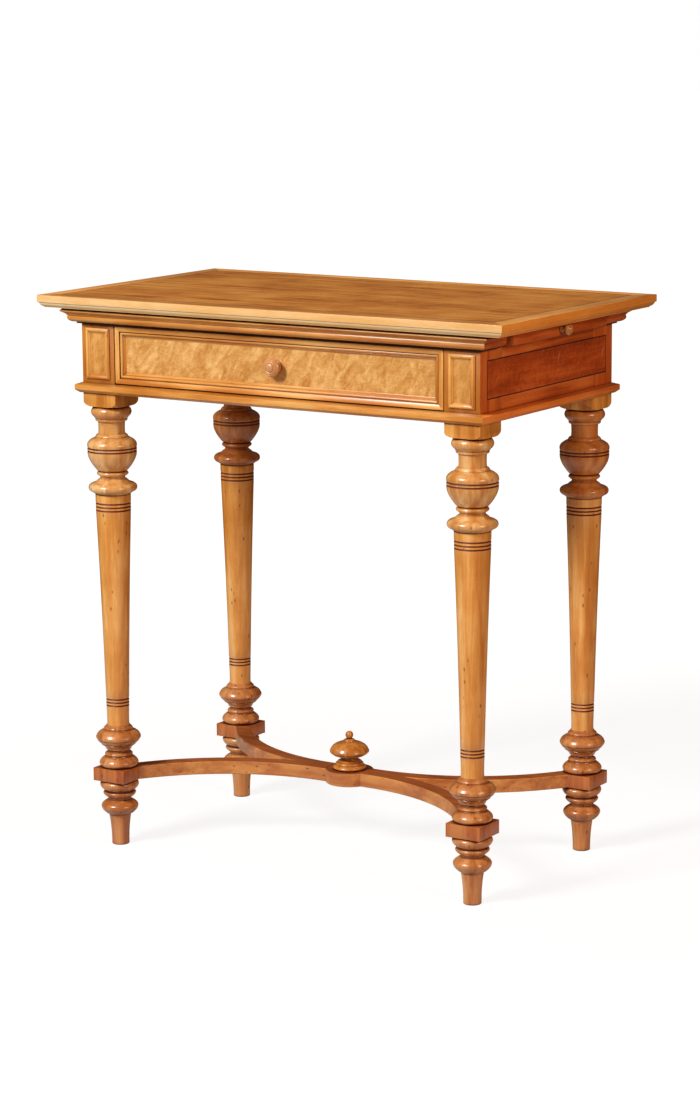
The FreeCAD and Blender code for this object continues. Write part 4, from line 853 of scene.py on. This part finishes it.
# %% [markdown]
# The four legs are copies of this one, mirrored so that each turns its sunk field and its
# redder, shaded face to its own end of the table. The urns of the two back legs get a redder
# wood, painted shade from the case above them.

# %% Four legs
def copy_to(piece, name, x=0, y=0, flip_x=False, flip_y=False):
    """A copy with its own mesh, mirrored if asked and moved by millimetres."""
    copy = piece.copy()
    copy.data = piece.data.copy()
    copy.name = name
    bpy.context.scene.collection.objects.link(copy)
    if flip_x or flip_y:
        edit(copy)
        flips = (-1 if flip_x else 1, -1 if flip_y else 1, 1)
        bpy.ops.transform.resize(value=flips, center_override=(0, 0, 0))
        if flip_x != flip_y:
            bpy.ops.mesh.flip_normals()
        close()
    copy.location = mm(x, y, 0)
    fix_place(copy)
    return copy


CORNERS = {
    "front_left": (-1, -1), "front_right": (1, -1), "back_left": (-1, 1), "back_right": (1, 1),
}
for corner, (side_x, side_y) in CORNERS.items():
    leg = copy_to(
        first_leg, "turned_leg_" + corner, side_x * LEG_X, side_y * LEG_Y, side_x < 0, side_y > 0
    )
    if side_y > 0:
        # The back urns get painted shade
        leg.data.materials[slot_of["urn"]] = shaded_birch
    stand_in(leg, "leg_" + corner)
bpy.data.objects.remove(first_leg)
print("legs:", list(CORNERS))

# %% [markdown]
# The finial is one turning on a peg, the drawer knob another, and the two slide knobs are a
# smaller sister of it. A knob is turned upright and then laid down to point out of its board.

# %% Finial and knobs
finial_outline = [
    (0, 100), (6, 100), (6, 105.5), (19.8, 105.5),
    *bend((19.8, 105.5), (21.9, 108.2), (19.6, 111.4), 8),
    (18.2, 111.7), (18.0, 112.6),
    *bend((18.0, 112.6), (18.4, 113.8), (17.2, 115.0), 4),
    (15.6, 115.2), (15.8, 116.6), (14.6, 117.4), (10.6, 117.8),
    *bend((10.6, 117.8), (9.4, 120.4), (10.4, 122.6), 6),
    *bend((10.4, 122.6), (18.6, 123.8), (24.6, 127.6), 7),
    *bend((24.6, 127.6), (26.0, 129.4), (25.4, 131.8), 5),
    *bend((25.4, 131.8), (19.6, 138.9), (8.9, 142.6), 10),
    (8.0, 142.6), (7.8, 143.5),
    *bend((7.8, 143.5), (7.0, 145.2), (4.4, 146.4), 4),
]
# The ball on top, a little taller than wide, from its neck round to the axis
BALL_RADIUS, BALL_HALF, BALL_MIDDLE, BALL_STEPS = 5.2, 5.4, 151.2, 16
for step in range(3, BALL_STEPS + 1):
    around = math.radians(-90 + step * 180 / BALL_STEPS)
    height = BALL_MIDDLE + BALL_HALF * math.sin(around)
    finial_outline.append((BALL_RADIUS * math.cos(around), height))
finial_outline[-1] = (0, BALL_MIDDLE + BALL_HALF)
finial = turn("turned_finial", finial_outline)
paint(finial, finial_birch)
smooth(finial)
stand_in(finial, "stretcher_finial")

knob_outline = [
    (0, -7), (4, -7), (4, 0), (8.0, 0), (8.3, 0.9), (8.0, 2.0),
    *bend((8.0, 2.0), (5.2, 3.4), (4.8, 5.4), 6),
    *bend((4.8, 5.4), (5.6, 7.6), (9.0, 8.4), 5),
    *bend((9.0, 8.4), (11.7, 10.8), (10.6, 13.8), 7),
    (9.4, 14.7), (8.9, 14.4), (8.5, 14.7),
    *bend((8.5, 14.7), (7.6, 15.6), (6.4, 15.5), 4),
    (5.9, 15.1), (5.4, 15.4),
    *bend((5.4, 15.4), (3.6, 16.8), (0, 17.1), 6),
]
knob = turn("turned_drawer_knob", knob_outline, 64)
paint(knob, knob_birch)
smooth(knob)
small_knob = copy_to(knob, "small_knob")

# The middle height of the drawer, and where its front and the veneer on it face forward
DRAWER_MIDDLE, DRAWER_FACE, PANEL_FACE = 655.4, -161.3, -162.3
knob.rotation_euler = (math.pi / 2, 0, 0)
knob.location = mm(0, PANEL_FACE, DRAWER_MIDDLE)
fix_place(knob)
stand_in(knob, "drawer_knob", "drawer")

SLIDE_END, SLIDE_MIDDLE = 313.5, 704.25
edit(small_knob)
bpy.ops.transform.resize(value=(0.64, 0.64, 0.86), center_override=(0, 0, 0))
close()
for side, sign in (("right", 1), ("left", -1)):
    slide_knob = copy_to(small_knob, "turned_slide_knob_" + side)
    slide_knob.rotation_euler = (0, sign * math.pi / 2, 0)
    slide_knob.location = mm(sign * SLIDE_END, 0, SLIDE_MIDDLE)
    fix_place(slide_knob)
    stand_in(slide_knob, "slide_knob_" + side, "slide_" + side)
bpy.data.objects.remove(small_knob)
print("finial and knobs turned")

# %% [markdown]
# ## The stretcher
#
# Each arm is sawn from a board: straight where it leaves the round boss, then curved round
# to the corner of its leg's block. We draw the arm's cross-section with eased corners, and
# Spin carries it along the curve. Both ends are then run on and fitted, as a joiner would:
# one to the block, the other to the boss, with the two arms of a side meeting on the middle
# line. Faces that look up get the browner wood.

# %% One arm
# The arm's middle starts beside the table's long middle line and ends beside the inner corner
# of the block. It is straight from within the boss to STRAIGHT_END.
ARM_WIDTH, ARM_SHIFT, CORNER_SHIFT = 22.0, 5.5, 4.7
INNER_END, STRAIGHT_END, RUN_ON, BOSS = 15.0, 34.0, 28.0, 31.5
arm_run = LEG_X - BLOCK - STRAIGHT_END
arm_rise = LEG_Y - BLOCK - CORNER_SHIFT - ARM_SHIFT
arm_radius = (arm_run**2 + arm_rise**2) / (2 * arm_rise)
arm_angle = math.asin(arm_run / arm_radius)
print("arm bends by", round(math.degrees(arm_angle), 1), "degrees at", round(arm_radius, 1), "mm")

half = ARM_WIDTH / 2
ease = 0.9
arm_section = [
    (-half + ease, BLOCK_FOOT), (half - ease, BLOCK_FOOT),
    (half, BLOCK_FOOT + ease), (half, BLOCK_TOP - ease),
    (half - ease, BLOCK_TOP), (-half + ease, BLOCK_TOP),
    (-half, BLOCK_TOP - ease), (-half, BLOCK_FOOT + ease),
]
arm = draw("arm", [(STRAIGHT_END, ARM_SHIFT + y, z) for y, z in arm_section])
take_all()
bpy.ops.mesh.edge_face_add()
extrude(INNER_END - STRAIGHT_END, 0, 0)
bpy.ops.mesh.select_all(action="DESELECT")
close()
for face in arm.data.polygons:
    face.select = abs(face.center.x / MM - STRAIGHT_END) < 0.01
pick(arm)
bpy.ops.object.mode_set(mode="EDIT")
centre = mm(STRAIGHT_END, ARM_SHIFT + arm_radius, 0)
bpy.ops.mesh.spin(steps=40, angle=-arm_angle, center=centre, axis=(0, 0, 1))
extrude(RUN_ON * math.cos(arm_angle), RUN_ON * math.sin(arm_angle), 0)
take_all()
bpy.ops.mesh.remove_doubles(threshold=0.01 * MM)
bpy.ops.mesh.bisect(
    plane_co=(0, 0, 0), plane_no=(0, 1, 0), use_fill=True, clear_inner=True, clear_outer=False
)
take_all()
bpy.ops.mesh.normals_make_consistent(inside=False)
close()
# Both tools are taller than the arm. The arm goes 0.1 mm into the boss, so that no gap shows
low, high, fit = BLOCK_FOOT - 8, BLOCK_TOP + 6.5, BOSS - 0.1
block_tool = box(
    "block_tool", (LEG_X - BLOCK, LEG_Y - BLOCK, low), (LEG_X + BLOCK, LEG_Y + BLOCK, high)
)
common_or_cut(arm, block_tool, "DIFFERENCE")
boss_tool = turn("boss_tool", [(0, low), (fit, low), (fit, high), (0, high)], 128)
common_or_cut(arm, boss_tool, "DIFFERENCE")
paint(arm, arm_birch, level_birch)
paint_faces(arm, 1, looks_up)
smooth(arm)
for corner, (side_x, side_y) in CORNERS.items():
    placed = copy_to(arm, "sawn_arm_" + corner, flip_x=side_x < 0, flip_y=side_y < 0)
    stand_in(placed, "stretcher_arm_" + corner)
bpy.data.objects.remove(arm)

boss_outline = [(0, BLOCK_FOOT), (BOSS - 0.8, BLOCK_FOOT), (BOSS, BLOCK_FOOT + 0.7)]
boss_outline += [(BOSS, BLOCK_TOP - 0.8), (BOSS - 0.8, BLOCK_TOP), (0, BLOCK_TOP)]
boss = turn("turned_boss", boss_outline, 128)
paint(boss, arm_birch, level_birch)
paint_faces(boss, 1, looks_up)
smooth(boss, 25)
stand_in(boss, "stretcher_boss")

# %% [markdown]
# ## Mouldings
#
# A moulding is planed along its length, so it is one cross-section pulled straight and sawn
# at the ends. The section is drawn from points in Y and Z, with Y = 0 at the face that it is
# fixed to. Bisect saws the mitres, and a small bevel takes off the sharpness that a plane
# leaves and sandpaper removes.

# %% Run a moulding
def ease_edges(piece, width):
    """Take the sharpness off a piece's edges with a small bevel."""
    pick(piece)
    change = piece.modifiers.new("ease", "BEVEL")
    change.width = width * MM
    change.segments = 2
    change.limit_method = "ANGLE"
    change.angle_limit = math.radians(40)
    bpy.ops.object.modifier_apply(modifier=change.name)


def moulding(name, length, section, ends=("mitre", "mitre"), ease=0.2):
    """A moulding along X. A mitre slopes through the end of the length at Y = 0."""
    # Spare length at both ends, for the saw
    spare = 60
    points = [(-length / 2 - spare, y, z) for y, z in section]
    piece = draw(name, points)
    take_all()
    bpy.ops.mesh.edge_face_add()
    extrude(length + 2 * spare, 0, 0)
    for side, end in zip((-1, 1), ends):
        take_all()
        bpy.ops.mesh.bisect(
            plane_co=mm(side * length / 2, 0, 0),
            plane_no=(side, 1 if end == "mitre" else 0, 0),
            use_fill=True,
            clear_outer=True,
        )
    weld_and_close()
    ease_edges(piece, ease)
    return piece


SIDE_TURNS = {"front": 0, "right": 90, "back": 180, "left": 270}


def moulding_on(side, name, half_x, half_y, z, section, ease=0.2):
    """Run a mitred moulding along one side of a rectangle, at a height."""
    length = 2 * (half_x if side in ("front", "back") else half_y)
    piece = moulding(name, length, section, ease=ease)
    across = {"front": (0, -1), "right": (1, 0), "back": (0, 1), "left": (-1, 0)}[side]
    piece.rotation_euler = (0, 0, math.radians(SIDE_TURNS[side]))
    piece.location = mm(across[0] * half_x, across[1] * half_y, z)
    fix_place(piece)
    smooth(piece, 30)
    return piece


# %% [markdown]
# The top's border has a flat edge, then a thin quirk and a cove that undercuts it, so the
# top looks light. Its upper face is veneered with the grain along each side, and its front
# edge is the palest wood on the table.

# %% The border of the top
TOP_X, TOP_Y, TOP_FOOT = 342.7, 199.1, 714.0
border_section = [
    (24, 14.5), (23.3, 14.5), (23.3, 16), (0.5, 16), (0, 15.5), (0, 7.0), (0.4, 6.6),
    (1.6, 6.6), (1.6, 6.0),
    *bend((1.6, 6.0), (3.6, 2.8), (6.4, 1.1), 8),
    (6.6, 0.9), (6.6, 0), (24, 0),
]
for side in SIDE_TURNS:
    name = "border_" + side
    border = moulding_on(side, name, TOP_X, TOP_Y, TOP_FOOT, border_section, ease=0.15)
    grain = "x" if side in ("front", "back") else "y"
    edges = (pale_edge, painted_light_cove) if side == "front" else (end_edge, end_edge)
    paint(border, top_border_wood[grain], *edges)
    # The edge and the hollow, but not the underside, and then the hollow alone
    paint_faces(border, 1, lambda face: -0.97 < face.normal.z < 0.5)
    # On the front the hollow shows the painted light
    paint_faces(border, 2, lambda face: -0.97 < face.normal.z < -0.1)
    stand_in(border, "top_border_" + side)
print("border pieces run")

# %% [markdown]
# Under the top runs the cornice: a rounded foot, a raking face, an arris and a bevel. It
# stops at the slides, so it returns only a short way round each corner. The base moulding
# at the foot of the frieze goes all the way round.

# %% Cornice and base moulding
# Half the case each way, where a return stops, and the height of the cornice's foot
CASE_X, CASE_Y, RETURN_END, CORNICE_FOOT = 295.5, 167.7, 128.0, 696.0
cornice_section = [
    (0, 0), (0, 18), (-16.6, 18), (-20.2, 14.4), (-20.4, 13.8), (-19.8, 13.0), (-18.9, 12.8),
    *bend((-18.9, 12.8), (-16.6, 11.4), (-14.0, 9.6), 4),
    (-13.8, 8.4), (-12.6, 8.2),
    *bend((-12.6, 8.2), (-13.0, 3.4), (-8.8, 0), 7),
]
for side in ("front", "back"):
    name = "run_cornice_" + side
    piece = moulding_on(side, name, CASE_X, CASE_Y, CORNICE_FOOT, cornice_section)
    paint(piece, framing["x"])
    stand_in(piece, "cornice_" + side)
for side, side_x in (("right", 1), ("left", -1)):
    returns = []
    for side_y in (-1, 1):
        ends = ("mitre", "square") if side_x * side_y < 0 else ("square", "mitre")
        piece = moulding("return", CASE_Y - RETURN_END, cornice_section, ends)
        piece.rotation_euler = (0, 0, math.radians(SIDE_TURNS[side]))
        piece.location = mm(side_x * CASE_X, side_y * (CASE_Y + RETURN_END) / 2, CORNICE_FOOT)
        fix_place(piece)
        smooth(piece, 30)
        returns.append(piece)
    pair = join("run_cornice_returns_" + side, returns)
    # The returns on the ends: redder polish with painted shade
    paint(pair, end_framing_red_shaded["y"])
    stand_in(pair, "cornice_returns_" + side)

base_section = [
    (0, 0), (0, 13), (-0.8, 13), (-7.6, 10.6), (-7.9, 10.2), (-7.9, 3.9), (-7.6, 3.5),
    (-3.2, 0),
]
for side in SIDE_TURNS:
    piece = moulding_on(side, "run_base_" + side, CASE_X, CASE_Y, CASE_FOOT, base_section)
    paint(piece, framing["x"] if side in ("front", "back") else base_birch)
    stand_in(piece, "base_moulding_" + side)
print("cornice and base run")

# %% [markdown]
# The drawer front and the two corner posts carry small mitred frames. A frame is four
# lengths of one moulding, laid on the front and turned to its four sides. Two lengths run
# along X and two stand along Z, so each gets the birch with its own grain.

# %% Frames on the front
def front_frame(name, half_x, half_z, centre_x, face_y, section, ease=0.15):
    """Four mitred lengths round a rectangle on the front of the table."""
    lengths = []
    for turn_by in (0, 90, 180, 270):
        standing = turn_by in (90, 270)
        out, half_length = (half_x, half_z) if standing else (half_z, half_x)
        piece = moulding("length", 2 * half_length, section, ease=ease)
        angle = math.radians(turn_by)
        piece.rotation_euler = (math.pi / 2, -angle, 0)
        piece.location = mm(
            centre_x + out * math.sin(angle), face_y, DRAWER_MIDDLE - out * math.cos(angle)
        )
        fix_place(piece)
        smooth(piece, 30)
        paint(piece, framing["z" if standing else "x"])
        lengths.append(piece)
    return join(name, lengths)


drawer_section = [
    (0, 0), (14.8, 0), (14.8, 0.9),
    *bend((14.8, 0.9), (13.3, 1.6), (12.2, 3.4), 5),
    (11.8, 3.0), (11.3, 3.2), (11.2, 4.2),
    *bend((11.2, 4.2), (9.8, 5.3), (8.2, 4.9), 5),
    (8.0, 4.2), (7.1, 4.2), (7.0, 6.1), (6.6, 6.4), (0.7, 6.4), (0, 5.7),
]
DRAWER_X, DRAWER_Z, POST_X, POST_Z = 244.1, 37.2, 18.25, 32.7
drawer_frame = front_frame(
    "run_drawer_moulding", DRAWER_X, DRAWER_Z, 0, DRAWER_FACE, drawer_section
)
stand_in(drawer_frame, "drawer_moulding", "drawer")

post_section = [
    (0, 0), (6.6, 0), (6.6, 0.8),
    *bend((6.6, 0.8), (5.6, 1.3), (4.9, 2.2), 3),
    (4.5, 2.2), (4.4, 2.9),
    *bend((4.4, 2.9), (2.9, 3.5), (1.1, 2.9), 4),
    (0.9, 2.0), (0.2, 1.8), (0, 1.4),
]
for side, side_x in (("left", -1), ("right", 1)):
    name = "run_post_frame_" + side
    post_frame = front_frame(name, POST_X, POST_Z, side_x * LEG_X, -CASE_Y, post_section, ease=0.1)
    stand_in(post_frame, "post_frame_" + side)
print("drawer frame and post frames run")

# %% [markdown]
# ## The flat pieces
#
# Rails, aprons, boards and panels keep the CAD's shape. Where they show, their edges are
# eased on a copy. The copy's loose triangles are merged first, and its flat faces cleaned, or
# the bevel would follow every triangle.

# %% Ease the edges of a CAD piece
def eased(node, width, material, body="table"):
    """A copy of a CAD piece with its edges taken off, which stands for it."""
    piece = bpy.data.objects.new("eased_" + node, nodes[node].data.copy())
    bpy.context.scene.collection.objects.link(piece)
    edit(piece)
    bpy.ops.mesh.remove_doubles(threshold=0.001 * MM)
    bpy.ops.mesh.dissolve_limited(angle_limit=math.radians(1))
    close()
    ease_edges(piece, width)
    paint(piece, material)
    smooth(piece, 30)
    stand_in(piece, node, body)


# The slide lippings and the end aprons below: redder polish with painted shade
eased("slide_lipping_right", 0.4, end_framing_red_shaded["y"], body="slide_right")
eased("slide_lipping_left", 0.4, end_framing_red_shaded["y"], body="slide_left")
eased("drawer_rail", 0.3, framing["x"])
for side in ("left", "right"):
    eased("apron_" + side, 0.2, end_framing_red_shaded["y"])
eased("apron_back", 0.3, framing["x"])

# %% [markdown]
# The remaining CAD pieces are right as they are and only need their wood. The panels get
# the flamed veneers, the fillet and the stringing the blackened birch, and what is hidden
# inside gets plain pine, as such tables were built.

# %% Woods for the other CAD pieces
finishes = {
    ("top_panel",): top_veneer,
    ("top_stringing", "side_stringing", "ebony_fillet"): dark_line,
    ("drawer_panel",): front_veneer,
    ("post_panel_left", "post_panel_right"): post_veneer,
    # The end panels: red veneer with painted shade
    ("side_panel_left", "side_panel_right"): end_veneer_shaded,
    # These rails and guides get the redder polish with painted shade
    ("top_rail_front", "slide_bed", "slide_guides"): end_framing_red_shaded["x"],
    ("slide_board_left", "slide_board_right"): level_birch,
    ("drawer_front", "drawer_back", "drawer_bottom", "drawer_stops"): plain_pine["x"],
    ("top_rail_back", "stretcher_tenons"): plain_pine["x"],
    ("drawer_side_left", "drawer_side_right", "slide_divider"): plain_pine["y"],
    ("drawer_runner_left", "drawer_runner_right"): plain_pine["y"],
}
for group, wood in finishes.items():
    for node in group:
        paint(nodes[node], wood)
painted = sum(finishes, ())
left_over = [
    name for name, piece in nodes.items() if name not in painted and not piece.hide_render
]
print("CAD pieces painted:", len(painted), "left over:", left_over)

# %% [markdown]
# ## Finish
#
# Last, the selection is cleared.

# %% Finish
bpy.ops.object.select_all(action="DESELECT")
